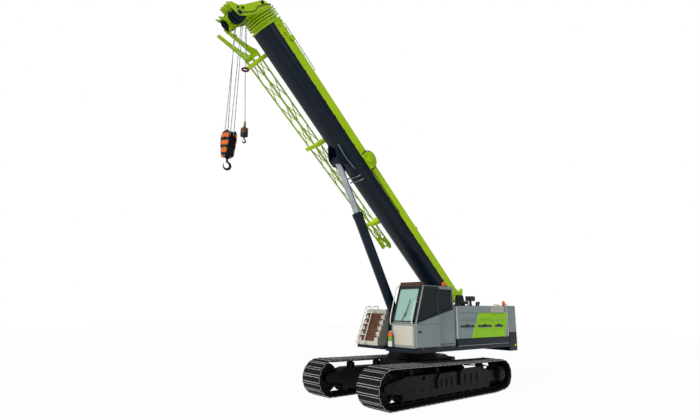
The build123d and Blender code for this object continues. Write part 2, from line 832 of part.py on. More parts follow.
def boom_foot():
    """Thick side plates that carry the boom's pin, with the rope guide horn above."""
    profile = [(boom_start, boom_belly + 260), (boom_start, boom_top - 20), (190, boom_top - 20),
               (150, boom_top + 230),
               (60, boom_top + 230), (-150, 60), (-150, -90), (0, -170)]
    foot = None
    for side in (1, -1):
        edge = sorted((side * (boom_half_width - 90), side * (boom_half_width - 2)))
        plate = side_plate(profile, *edge)
        foot = plate if foot is None else foot + plate
    foot -= cross_bore(0, 0, foot_pin_radius + SEAT, -600, 600, wheel_sides)
    return foot + block((boom_start - 60, boom_start), (-boom_half_width + 90, boom_half_width - 90),
                        (-150, boom_top - 20))


def section_end(number):
    """Where the collar of a section starts; section 1 is the base."""
    return base_end + (number - 1) * (collar_thickness + collar_gap)


def section(number):
    inset = (number - 1) * section_step
    start = section_start + (number - 2) * 40
    end = section_end(number) + collar_thickness
    piece = tube(inset, start, end, shell)
    piece += collar(inset + shell / 2, section_end(number), end)
    if number <= section_count:
        piece += guide_pads(inset, end - collar_thickness, end)
    return piece


def cylinder_bracket():
    """The saddle under the boom that holds the rod's eye."""
    profile = [(eye_along - 700, boom_belly + 120), (eye_along + 620, boom_belly + 120),
               (eye_along + 260, eye_up - 40),
               (eye_along + 120, eye_up - 130), (eye_along - 120, eye_up - 130),
               (eye_along - 420, boom_belly - 40)]
    bracket = None
    for side in (1, -1):
        edge = sorted((side * rod_eye_half, side * (rod_eye_half + 50)))
        plate = side_plate(profile, *edge)
        bracket = plate if bracket is None else bracket + plate
    bracket -= boom_solid(-SEAT, eye_along - 800, eye_along + 800)
    return bracket + axle(eye_along, eye_up, pin_radius, -rod_eye_half - 75, rod_eye_half + 75, wheel_sides)


def head_frame():
    """The boom head: cheek plates that carry the rope sheaves, tied by cross plates."""
    start = section_end(section_count + 1) + collar_thickness + SEAT
    left_cheek = [
        (SEAT, 110), (75, 110), (255, -10), (375, -740), (435, -930), (595, -1070), (640, -1250),
        (415, -1185), (315, -1150), (245, -1140), (165, -1090), (75, -880), (SEAT, -520),
    ]
    right_cheek = [
        (SEAT, 110), (75, 110), (255, -10), (365, -560), (625, -700), (705, -940), (465, -890),
        (435, -1120), (515, -1290), (415, -1260), (315, -1150), (175, -1150), (20, -1265),
        (35, -1060), (75, -880), (SEAT, -520),
    ]
    head = None
    for y, outline in ((440.0, left_cheek), (300.0, left_cheek), (120.0, left_cheek), (-145.0, right_cheek),
                       (-325.0, right_cheek)):
        outline = [(head_start + along, up) for along, up in outline]
        plate = side_plate(outline, y, y + cheek)
        head = plate if head is None else head + plate
    head += block((start, start + 45), (-324, 464), (-450, 105))
    head += block((head_start + 205, head_start + 245), (-324, 464), (-660, -340))
    head -= cross_bore(head_axle_along, head_axle_up, 45 + SEAT, -600, 600, tube_sides)
    head -= cross_bore(top_sheave_along, top_sheave_up, 35 + SEAT, -600, 600, tube_sides)
    return head


def head_axles():
    return [axle(head_axle_along, head_axle_up, 45, -350, 490, tube_sides),
            axle(top_sheave_along, top_sheave_up, 35, -350, 490, tube_sides)]


def sheave(along, up, radius, y, hole):
    wheel = axle(along, up, radius - groove_depth, y - groove_half - 1, y + groove_half + 1, sheave_sides)
    for edge in ((y - sheave_width / 2, y - groove_half), (y + groove_half, y + sheave_width / 2)):
        wheel += axle(along, up, radius, *edge, sheave_sides)
    return wheel - cross_bore(along, up, hole + SEAT, y - 100, y + 100, tube_sides)


def head_sheaves():
    found = [sheave(head_axle_along, head_axle_up, sheave_radius, y,
                    45) for y in left_sheaves + right_sheaves]
    found += [sheave(top_sheave_along, top_sheave_up, top_sheave_radius, y, 35) for y in (220.0, -220.0)]
    return found


# ---- luffing cylinder ----------------------------------------------------
eye = boom_point(eye_along, 0, eye_up)
reach = hypot(eye[0] - base_pin_x, eye[2] - base_pin_z)
lean = ((eye[0] - base_pin_x) / reach, (eye[2] - base_pin_z) / reach)


def on_cylinder(distance, y=0.0):
    """A point at a distance from the cylinder's base pin towards the rod's eye."""
    return (base_pin_x + lean[0] * distance, y, base_pin_z + lean[1] * distance)


def luff_barrel():
    foot = axle(base_pin_x, base_pin_z, 180, -foot_eye_half, foot_eye_half, wheel_sides)
    neck = bar(on_cylinder(60), on_cylinder(260), foot_eye_half - 20)
    barrel = bar(on_cylinder(240), on_cylinder(barrel_length - 160), barrel_radius, wheel_sides)
    gland = bar(on_cylinder(barrel_length - 161), on_cylinder(barrel_length), barrel_radius + 14,
                wheel_sides)
    inside = bore(on_cylinder(420), on_cylinder(barrel_length + 1), rod_radius + SEAT, sheave_sides)
    return foot + neck + barrel + gland - inside


def luff_rod():
    rod = bar(on_cylinder(reach - rod_length), on_cylinder(reach - 60), rod_radius, sheave_sides)
    head = axle(eye[0], eye[2], 150, SEAT - rod_eye_half, rod_eye_half - SEAT, wheel_sides)
    return rod + head - cross_bore(eye[0], eye[2], pin_radius + SEAT, -300, 300, wheel_sides)


# ---- hooks ---------------------------------------------------------------
head_point = boom_point(head_axle_along, 0, head_axle_up)
main_x = head_point[0] - main_back
aux_x = head_point[0] - aux_back
fall_x = head_point[0] - sheave_radius + groove_depth - rope_radius - SEAT
fall_spread = 185.0
fall_gap = 50.0


def main_falls():
    """Four rope falls from the head sheaves to the hook block's sheaves."""
    falls = []
    for y, x_low, y_low in (
        (left_sheaves[0], main_x + fall_gap, fall_spread),
        (left_sheaves[1], main_x - fall_gap, fall_spread),
        (right_sheaves[0], main_x + fall_gap, -fall_spread),
        (right_sheaves[1], main_x - fall_gap, -fall_spread),
    ):
        falls.append(bar((fall_x, y, head_point[2] + rope_lap), (x_low, y_low, main_top - 215),
                         rope_radius, tube_sides))
    return falls


def main_block():
    """The hook block: two sheaves between striped cheeks."""
    cheeks = None
    outline = [(-150, main_top), (150, main_top), (245, main_top - 130), (245, main_top - 330),
               (120, main_bottom),
               (-120, main_bottom), (-245, main_top - 330), (-245, main_top - 130)]
    for x in (main_x + 100, main_x - 130):
        face = make_face(Polyline(*[(x, y, z) for y, z in outline], close=True))
        plate = extrude(face, amount=30, dir=(1, 0, 0))
        cheeks = plate if cheeks is None else cheeks + plate
    cheeks += block((main_x - 100, main_x + 100), (-110, 110), (main_bottom, main_bottom + 90))
    cheeks += block((main_x - 100, main_x + 100), (-60, 60), (main_top - 30, main_top))
    return cheeks + bar((main_x - 145, 0, main_top - 215), (main_x + 145, 0, main_top - 215), 42)


def block_sheaves():
    z = main_top - 215
    found = []
    seat = fall_spread - rope_radius - SEAT
    for x in (main_x + fall_gap, main_x - fall_gap):
        wheel = bar((x - 21, 0, z), (x + 21, 0, z), seat, sheave_sides)
        for side in (-35, 20):
            wheel += bar((x + side, 0, z), (x + side + 15, 0, z), seat + 18, sheave_sides)
        found.append(wheel - bore((x - 50, 0, z), (x + 50, 0, z), 42 + SEAT))
    return found


def hook(x, y, top, bottom, thick):
    """A forged hook under a shank, made of a ring with a gap at its mouth."""
    r = (top - bottom) * 0.32
    z = bottom + r
    shank = bar((x, y, z + r * 0.6), (x, y, top), thick * 0.6)
    face_ring = axle(x, z, r, y - thick / 2, y + thick / 2, sheave_sides)
    face_ring -= axle(x, z, r * 0.5, y - thick, y + thick, sheave_sides)
    mouth = block((x + r * 0.2, x + r * 1.1), (y - thick, y + thick), (z + r * 0.05, z + r * 0.75))
    return face_ring - mouth + shank


def aux_fall():
    start = (fall_x, left_sheaves[2], head_point[2] + rope_lap)
    return bar(start, (aux_x, aux_y, aux_top + 190), rope_radius, tube_sides)


def aux_socket():
    return bar((aux_x, aux_y, aux_top), (aux_x, aux_y, aux_top + 190), 26)


def aux_weight():
    return bar((aux_x, aux_y, aux_bottom), (aux_x, aux_y, aux_top - SEAT), 100)


# ---- jib -----------------------------------------------------------------
def jib_corner(part, side, level):
    """A chord's place: part 0 is the foot and 1 the tip; side and level are +1 or -1."""
    along = jib_foot_along + part * (jib_tip_along - jib_foot_along)
    width = jib_foot_width + part * (jib_tip_width - jib_foot_width)
    depth = jib_foot_depth + part * (jib_tip_depth - jib_foot_depth)
    up = jib_foot_up + part * (jib_tip_up - jib_foot_up)
    return (along, jib_y + side * width / 2, up + level * depth / 2)


corners = ((1, 1), (-1, 1), (-1, -1), (1, -1))


def jib_lattice():
    """Four chords, a crossing brace in each bay of each side, and a frame at both ends."""
    bars = [bar(jib_corner(0, *one), jib_corner(1, *one), chord_radius, tube_sides) for one in corners]
    for i, one in enumerate(corners):
        other = corners[(i + 1) % 4]
        for k in range(jib_bays):
            first, second = (one, other) if k % 2 else (other, one)
            start, end = (k + 0.1) / jib_bays, (k + 0.9) / jib_bays
            bars.append(bar(jib_corner(start, *first), jib_corner(end, *second), lace_radius, 6))
        for part in (0.004, 0.996):
            bars.append(bar(jib_corner(part, *one), jib_corner(part, *other), chord_radius - 6, 6))
    return bars


def jib_ends():
    """The two fork arms at the jib's foot and the nose with the rope roller at its tip."""
    half_foot, half_tip = jib_foot_depth / 2, jib_tip_depth / 2
    foot, tip, foot_up, tip_up = jib_foot_along, jib_tip_along, jib_foot_up, jib_tip_up
    fork = [
        (foot - 150, foot_up + half_foot), (foot - 150, foot_up - half_foot),
        (foot + 20, foot_up - half_foot),
        (foot + 560, foot_up - 350), (foot + 990, foot_up - 510), (foot + 1030, foot_up - 400),
        (foot + 640, foot_up - 230), (foot + 200, foot_up), (foot + 20, foot_up + half_foot),
    ]
    nose = [
        (tip + nose_lap, tip_up + half_tip), (tip + nose_lap, tip_up - half_tip), (tip, tip_up - half_tip),
        (tip - 330, tip_up - 90), (tip - 380, tip_up + 20), (tip - 260, tip_up + 110),
        (tip, tip_up + half_tip),
    ]
    fork_out = jib_foot_width / 2 + chord_radius + SEAT
    taper = (jib_foot_width - jib_tip_width) / 2 / (foot - tip)
    nose_out = jib_tip_width / 2 + taper * nose_lap + chord_radius + SEAT
    roller = axle(tip - 250, tip_up - 20, 30, jib_y - nose_out - 1, jib_y + nose_out + 1)
    ends, nose_box = [], roller
    for side in (1, -1):
        edge = sorted((jib_y + side * fork_out, jib_y + side * (fork_out + 30)))
        ends.append(side_plate(fork, *edge))
        edge = sorted((jib_y + side * nose_out, jib_y + side * (nose_out + 24)))
        nose_box += side_plate(nose, *edge)
    return ends + [nose_box]


bracket_places = (4300.0, 7900.0, 11200.0)


def jib_brackets():
    """Arms from the boom's side that carry the stowed jib."""
    arms = []
    for along in bracket_places:
        deep = (jib_foot_along - along - 60) / (jib_foot_along - jib_tip_along)
        far, near = jib_corner(deep, -1, -1), jib_corner(deep, 1, -1)
        rest = far[2] - chord_radius - SEAT
        lip, inner = far[1] - chord_radius - 8, near[1] + chord_radius + 8
        side = -boom_half_width - SEAT
        points = [(side, 110), (side, -230), (inner + 260, rest - 90), (lip - 60, rest - 80),
                  (lip - 60, rest + 70),
                  (lip, rest + 70), (lip, rest), (inner, rest), (inner, rest + 200),
                  (inner + 90, rest + 260)]
        outline = Polyline(*[(along - 60, y, z) for y, z in points], close=True)
        arms.append(extrude(make_face(outline), amount=120, dir=(1, 0, 0)))
    return arms


# ---- write the parts -----------------------------------------------------
os.makedirs("parts", exist_ok=True)

for side, name in ((1, "left_"), (-1, "right_")):
    pieces = {
        "track_shoes": [track_shoes()],
        "track_frame": [track_frame(side)],
        "track_rollers": track_rollers() + carrier_rollers(),
        "idler": [idler()],
        "track_drive": [sprocket(), final_drive()],
    }
    for piece_name, solids in pieces.items():
        write(name + piece_name, *(solids if side == 1 else mirrored(solids)))
write("carbody", carbody())
write("slewing_ring", slewing_ring())
write("upper_frame", upper_frame())
write("deck_pins", foot_pin(), *base_pins())
write("left_house", house(door_edges_left, house_front_left))
write("right_house", *mirrored([house(door_edges_right, house_front_right)]))
for number, (fore, rear) in enumerate(zip(door_edges_left[:-1], door_edges_left[1:]), 1):
    write("left_house_door_%d" % number, house_door(rear, fore))
for number, (fore, rear) in enumerate(zip(door_edges_right[:-1], door_edges_right[1:]), 1):
    write("right_house_door_%d" % number, *mirrored([house_door(rear, fore)]))
write("engine_block", engine(), *engine_mounts())
write("counterweight_lower", counterweight(weight_low, weight_split))
write("counterweight_upper", counterweight(weight_split, weight_top))
for name, x, z in winches:
    write(name, winch_drum(x, z))
write("cab_shell", cab_shell())
write("cab_windows", *cab_windows())
write("cab_door", cab_door())
write("cab_interior", cab_seat(), seat_stand(), cab_console())
write("lamps", *roof_lamps(), *beacons())
write("step_box", step_box())
write("grab_rails", grab_rails())
lower, upper = base_shells()
write("boom_base_lower_shell", *on_boom([lower]))
write("boom_base_upper_shell", *on_boom([upper]))
write("boom_base_collar", *on_boom([collar(-SEAT, base_end - collar_thickness, base_end)]))
write("boom_foot", *on_boom([boom_foot()]))
for number in range(2, section_count + 2):
    write("boom_section_%d" % number, *on_boom([section(number)]))
write("boom_head", *on_boom([head_frame()] + head_axles()))
write("head_sheaves", *on_boom(head_sheaves()))
write("cylinder_bracket", *on_boom([cylinder_bracket()]))
write("luff_barrel", luff_barrel())
write("luff_rod", luff_rod())
write("main_rope_falls", *main_falls())
write("main_hook_block", main_block(), *block_sheaves())
write("main_hook", hook(main_x, 0, main_bottom - SEAT, 6380.0, 80.0))
write("aux_rope_fall", aux_fall(), aux_socket())
write("aux_hook", aux_weight(), hook(aux_x, aux_y, aux_bottom - SEAT, 7060.0, 36.0))
write("jib", *on_boom([Part() + jib_lattice()] + jib_ends()))
write("jib_brackets", *on_boom(jib_brackets()))
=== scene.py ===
import math

import bmesh
import bpy
from mathutils import Matrix, Vector


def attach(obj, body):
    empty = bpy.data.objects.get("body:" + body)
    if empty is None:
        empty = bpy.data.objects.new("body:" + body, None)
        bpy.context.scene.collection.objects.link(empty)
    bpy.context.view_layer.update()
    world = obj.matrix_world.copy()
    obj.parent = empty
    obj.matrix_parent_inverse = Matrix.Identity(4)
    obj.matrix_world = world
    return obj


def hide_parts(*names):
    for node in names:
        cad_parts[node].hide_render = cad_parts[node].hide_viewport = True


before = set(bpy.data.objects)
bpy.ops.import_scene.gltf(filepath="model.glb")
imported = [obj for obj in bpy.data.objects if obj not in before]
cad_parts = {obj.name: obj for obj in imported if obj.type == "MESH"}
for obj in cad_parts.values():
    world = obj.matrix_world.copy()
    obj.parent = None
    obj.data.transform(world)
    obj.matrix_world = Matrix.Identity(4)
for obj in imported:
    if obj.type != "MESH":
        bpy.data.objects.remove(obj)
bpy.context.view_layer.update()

# A telescopic-boom crawler crane. Everything is in metres in the crane's own
# frame: +X forward along the boom, +Y to the driver's side, +Z up.

# ---- the crane's own places ----------------------------------------------
LUFF = math.radians(43.0)
BOOM_FOOT = Vector((-2.26, 0.0, 3.16))
BOOM_ALONG = Vector((math.cos(LUFF), 0.0, math.sin(LUFF)))
BOOM_UP = Vector((-math.sin(LUFF), 0.0, math.cos(LUFF)))


def on_boom(along, y, up):
    """A point given by its distance along the boom, its side and its height over the boom's axis."""
    return BOOM_FOOT + BOOM_ALONG * along + BOOM_UP * up + Vector((0.0, y, 0.0))


# ---- materials -----------------------------------------------------------
def linear(code, alpha=1.0):
    """An sRGB hex colour as linear values."""
    parts = [int(code[i:i + 2], 16) / 255 for i in (1, 3, 5)]
    return tuple(p / 12.92 if p <= 0.04045 else ((p + 0.055) / 1.055) ** 2.4 for p in parts) + (alpha,)


def add_node(material, kind, settings=None, links=None):
    """Adds a node. Settings are socket values, node options, or a ramp's tones as (position, hex colour).
    Links are socket name to output socket."""
    made = material.node_tree.nodes.new(kind)
    for key, value in (settings or {}).items():
        if key == "tones":
            for k, (position, tone) in enumerate(value):
                made.color_ramp.elements[k].position = position
                made.color_ramp.elements[k].color = linear(tone)
        elif isinstance(key, int) or key in made.inputs:
            made.inputs[key].default_value = value
        else:
            setattr(made, key, value)
    for key, output in (links or {}).items():
        material.node_tree.links.new(output, made.inputs[key])
    return made


def new_material(name, colour, rough, metal=0.0, **extra):
    """A material with one shader; extra holds more of the shader's sockets, such as coat_weight."""
    made = bpy.data.materials.new(name)
    made.use_nodes = True
    made.node_tree.nodes.clear()
    shader = add_node(made, "ShaderNodeBsdfPrincipled", {
        "Base Color": linear(colour), "Roughness": rough, "Metallic": metal})
    for key, value in extra.items():
        shader.inputs[key.replace("_", " ").title().replace("Ior", "IOR")].default_value = value
    add_node(made, "ShaderNodeOutputMaterial", links={"Surface": shader.outputs[0]})
    return made, shader


def link(material, output, shader, socket):
    material.node_tree.links.new(output, shader.inputs[socket])


def mottle(material, shader, colour, other, size_mm, low=0.35, high=0.7, detail=4.0):
    """Lets the colour wander between two tones in patches of about the given size."""
    place = add_node(material, "ShaderNodeTexCoord")
    cloud = add_node(material, "ShaderNodeTexNoise", {"Scale": 1000.0 / size_mm, "Detail": detail},
                     {"Vector": place.outputs["Object"]})
    patches = add_node(material, "ShaderNodeValToRGB", {"tones": ((low, colour), (high, other))},
                       {"Fac": cloud.outputs["Fac"]})
    link(material, patches.outputs["Color"], shader, "Base Color")


def relief(material, shader, size_mm, depth_mm, round_mm=0.0):
    """A fine unevenness of the surface, over edges that are rounded by the given radius."""
    place = add_node(material, "ShaderNodeTexCoord")
    grain = add_node(material, "ShaderNodeTexNoise", {"Scale": 1000.0 / size_mm, "Detail": 3.0},
                     {"Vector": place.outputs["Object"]})
    bump = add_node(material, "ShaderNodeBump", {"Distance": depth_mm / 1000.0, "Strength": 1.0},
                    {"Height": grain.outputs["Fac"]})
    if round_mm:
        edge = add_node(material, "ShaderNodeBevel", {"samples": 4, "Radius": round_mm / 1000.0})
        link(material, edge.outputs["Normal"], bump, "Normal")
    link(material, bump.outputs["Normal"], shader, "Normal")


def sprayed_enamel(name, colour, worn, rough=0.36, patch_mm=900, round_mm=12):
    """Two-pack enamel sprayed on steel plate: a soft gloss, slightly uneven, with a little dust."""
    made, shader = new_material(name, colour, rough, coat_weight=0.06, coat_roughness=0.12,
                                specular_ior_level=0.15)
    mottle(made, shader, colour, worn, patch_mm)
    relief(made, shader, 60, 0.25, round_mm)
    return made


lime_enamel = sprayed_enamel("lime_enamel", "#C4EA10", "#B8DE0C", round_mm=45)
# A lighter copy of the boom's lime enamel for the collars and upper sections: painted highlight, the same paint
# shown as more brightly lit.
lime_enamel_lit_copy = sprayed_enamel("lime_enamel_lit_copy", "#C8EE1C", "#B4DC12")
navy_enamel = sprayed_enamel("navy_enamel", "#0B1724", "#122232", rough=0.3, round_mm=45)
grey_enamel = sprayed_enamel("grey_enamel", "#949E9D", "#8A9493")
cream_enamel = sprayed_enamel("cream_enamel", "#CBC9BE", "#BCBAB0")
black_enamel = sprayed_enamel("black_enamel", "#08090A", "#101112", rough=0.55)
white_enamel = sprayed_enamel("white_enamel", "#E2E3E0", "#CFD1CE", rough=0.35)
orange_enamel = sprayed_enamel("orange_enamel", "#D9661F", "#C25514", rough=0.4, patch_mm=200)
brown_primer = sprayed_enamel("brown_primer", "#6E4A34", "#573A2A", rough=0.6, patch_mm=150)
maroon_enamel = sprayed_enamel("maroon_enamel", "#7A1E22", "#641418", rough=0.4, patch_mm=100)
green_enamel = sprayed_enamel("green_enamel", "#5FAE0C", "#529A08", rough=0.35, patch_mm=100)


# The green field: its front and rear edges at height 0, how far they lean per metre, its top and its side.
FIELD_FRONT, FIELD_FRONT_LEAN = -0.371, 0.571
FIELD_REAR, FIELD_REAR_LEAN = -3.105, 0.275
FIELD_TOP, FIELD_SIDE = 2.71, 1.45


def body_enamel():
    """Pale grey enamel on the house panels, with a slanted green field sprayed over a mask."""
    made, shader = new_material("body_enamel", "#949E9D", 0.36, coat_weight=0.06, coat_roughness=0.12,
                                specular_ior_level=0.22)
    place = add_node(made, "ShaderNodeTexCoord")
    axes = add_node(made, "ShaderNodeSeparateXYZ", links={0: place.outputs["Object"]})
    front = add_node(made, "ShaderNodeMath", {"operation": "MULTIPLY_ADD", 1: FIELD_FRONT_LEAN},
                     {0: axes.outputs["Z"], 2: axes.outputs["X"]})
    rear = add_node(made, "ShaderNodeMath", {"operation": "MULTIPLY_ADD", 1: FIELD_REAR_LEAN},
                    {0: axes.outputs["Z"], 2: axes.outputs["X"]})
    field = add_node(made, "ShaderNodeMath", {"operation": "LESS_THAN", 1: FIELD_FRONT}, {0: front.outputs[0]})
    before = add_node(made, "ShaderNodeMath", {"operation": "GREATER_THAN", 1: FIELD_REAR}, {0: rear.outputs[0]})
    below = add_node(made, "ShaderNodeMath", {"operation": "LESS_THAN", 1: FIELD_TOP}, {0: axes.outputs["Z"]})
    side = add_node(made, "ShaderNodeMath", {"operation": "ABSOLUTE"}, {0: axes.outputs["Y"]})
    outside = add_node(made, "ShaderNodeMath", {"operation": "GREATER_THAN", 1: FIELD_SIDE}, {0: side.outputs[0]})
    for term in (before, below, outside):
        field = add_node(made, "ShaderNodeMath", {"operation": "MULTIPLY"},
                         {0: field.outputs[0], 1: term.outputs[0]})
    masked = add_node(made, "ShaderNodeValToRGB", {"tones": ((0.45, "#949E9D"), (0.55, "#A2DE10"))},
                      {"Fac": field.outputs[0]})
    link(made, masked.outputs["Color"], shader, "Base Color")
    relief(made, shader, 60, 0.25, 12)
    return made


STRIPE_LEAN, STRIPE_PITCH_MM = 0.25, 215


def striped_enamel():
    """Orange enamel with dark diagonal bands 90 mm wide, masked and sprayed on the hook block."""
    made, shader = new_material("striped_enamel", "#D9661F", 0.4, specular_ior_level=0.22)
    place = add_node(made, "ShaderNodeTexCoord")
    axes = add_node(made, "ShaderNodeSeparateXYZ", links={0: place.outputs["Object"]})
    slant = add_node(made, "ShaderNodeMath", {"operation": "MULTIPLY_ADD", 1: STRIPE_LEAN},
                     {0: axes.outputs["Y"], 2: axes.outputs["Z"]})
    turns = add_node(made, "ShaderNodeMath", {"operation": "MULTIPLY", 1: 1000.0 / STRIPE_PITCH_MM},
                     {0: slant.outputs[0]})
    part = add_node(made, "ShaderNodeMath", {"operation": "FRACT"}, {0: turns.outputs[0]})
    stripes = add_node(made, "ShaderNodeValToRGB", {"tones": ((0.57, "#E06A1C"), (0.59, "#141C2C"))},
                       {"Fac": part.outputs[0]})
    link(made, stripes.outputs["Color"], shader, "Base Color")
    relief(made, shader, 40, 0.3, 8)
    return made


def cast_steel(name, colour, dusty, rough=0.62, metal=0.35):
    """Cast steel worked in soil: dark and matt, with dry dust in its hollows."""
    made, shader = new_material(name, colour, rough, metal=metal, specular_ior_level=0.2)
    mottle(made, shader, colour, dusty, 120, 0.4, 0.8, 8.0)
    relief(made, shader, 9, 0.8)
    return made


track_steel = cast_steel("track_steel", "#0D0D0E", "#1C1B1A", metal=0.1)
# A pale steel for bare bolt heads, also laid on the track shoes' edges as painted highlight.
bright_steel_and_edge_highlight = cast_steel("bright_steel_and_edge_highlight", "#C6C8C9", "#8E8F8F", rough=0.4, metal=0.4)
hook_steel = cast_steel("hook_steel", "#1C1E22", "#2C2927", rough=0.45, metal=0.2)


def hard_chrome():
    """Hard chrome plate on a ground rod: a mirror with a faint film of oil."""
    made, shader = new_material("hard_chrome", "#A9B0B5", 0.2, metal=1.0)
    mottle(made, shader, "#A9B0B5", "#8F979C", 400)
    return made


def laminated_glass(name, colour, solid):
    """Tinted cab glass: dark from outside, clear enough to show the seat."""
    return new_material(name, colour, 0.04, alpha=solid, ior=1.5)[0]


def moulded_plastic(name, colour, rough=0.5):
    """Injection-moulded plastic with a fine leather grain."""
    made, shader = new_material(name, colour, rough)
    relief(made, shader, 3, 0.15)
    return made


STRAND_LAY_MM = 60


def steel_rope():
    """Stranded steel rope, greased: dull grey, with bands 60 mm apart: painted highlight on each strand and
    painted shade in the dark lays between.
    """
    made, shader = new_material("steel_rope", "#6D7178", 0.5, metal=0.8)
    place = add_node(made, "ShaderNodeTexCoord")
    lay = add_node(made, "ShaderNodeTexWave",
                   {"Scale": 1000.0 / STRAND_LAY_MM / 6.28, "bands_direction": "DIAGONAL"},
                   {"Vector": place.outputs["Object"]})
    # Light bands: painted highlight on each strand; dark bands: painted shade in the lays.
    strand_light_and_shade = add_node(made, "ShaderNodeValToRGB", {"tones": ((0.0, "#7C8188"), (1.0, "#B0B4BA"))},
                       {"Fac": lay.outputs["Fac"]})
    link(made, strand_light_and_shade.outputs["Color"], shader, "Base Color")
    return made


chrome = hard_chrome()
dark_glass = laminated_glass("dark_glass", "#0F1A1E", 0.8)
screen_glass = laminated_glass("screen_glass", "#A9D2C8", 0.62)
black_plastic = moulded_plastic("black_plastic", "#17191B")
black_rubber = moulded_plastic("black_rubber", "#0E0F10", 0.7)
seat_cloth = moulded_plastic("seat_cloth", "#34302C", 0.9)
beacon_plastic = moulded_plastic("beacon_plastic", "#E2531A", 0.22)
lamp_lens = moulded_plastic("lamp_lens", "#E8E4D2", 0.15)
red_plastic = moulded_plastic("red_plastic", "#B51414", 0.25)
rope_steel = steel_rope()
house_enamel = body_enamel()
hook_stripes = striped_enamel()

node_finish = {
    "carbody": black_enamel, "slewing_ring": track_steel, "upper_frame": navy_enamel, "deck_pins": hook_steel,
    "left_house": house_enamel, "right_house": house_enamel, "engine_block": black_enamel,
    "counterweight_lower": navy_enamel, "counterweight_upper": grey_enamel, "cab_shell": grey_enamel,
    "cab_door": grey_enamel, "cab_windows": dark_glass, "cab_interior": seat_cloth, "lamps": beacon_plastic,
    "step_box": cream_enamel, "grab_rails": white_enamel, "boom_base_upper_shell": lime_enamel,
    "boom_base_lower_shell": navy_enamel, "boom_base_collar": lime_enamel_lit_copy, "boom_foot": lime_enamel,
    "boom_head": lime_enamel, "head_sheaves": navy_enamel, "cylinder_bracket": navy_enamel,
    "luff_barrel": navy_enamel, "luff_rod": chrome, "jib": lime_enamel, "jib_brackets": lime_enamel,
    "main_rope_falls": rope_steel, "aux_rope_fall": rope_steel, "main_hook_block": orange_enamel,
    "main_hook": hook_steel, "aux_hook": brown_primer, "main_winch_drum": black_enamel,
    "aux_winch_drum": black_enamel,
}
for side in ("left_", "right_"):
    node_finish.update({side + "track_frame": black_enamel, side + "track_shoes": track_steel,
                        side + "track_rollers": track_steel, side + "idler": track_steel,
                        side + "track_drive": black_enamel})
# The upper sections take the lighter lime, a painted highlight.
for number in (2, 3, 4, 5):
    node_finish["boom_section_%d" % number] = lime_enamel_lit_copy
for name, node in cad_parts.items():
    finish = house_enamel if "house_door" in name else node_finish[name]
    for material_slot in node.material_slots:
        material_slot.material = finish


# ---- shapes --------------------------------------------------------------
def as_given(x, y, z):
    return Vector((x, y, z))


def circle(centre, across, other, size, sides):
    """The corners of a round section, in the plane of two directions."""
    return [tuple(centre + (across * math.cos(turn) + other * math.sin(turn)) * size)
            for turn in (2 * math.pi * n / sides for n in range(sides))]


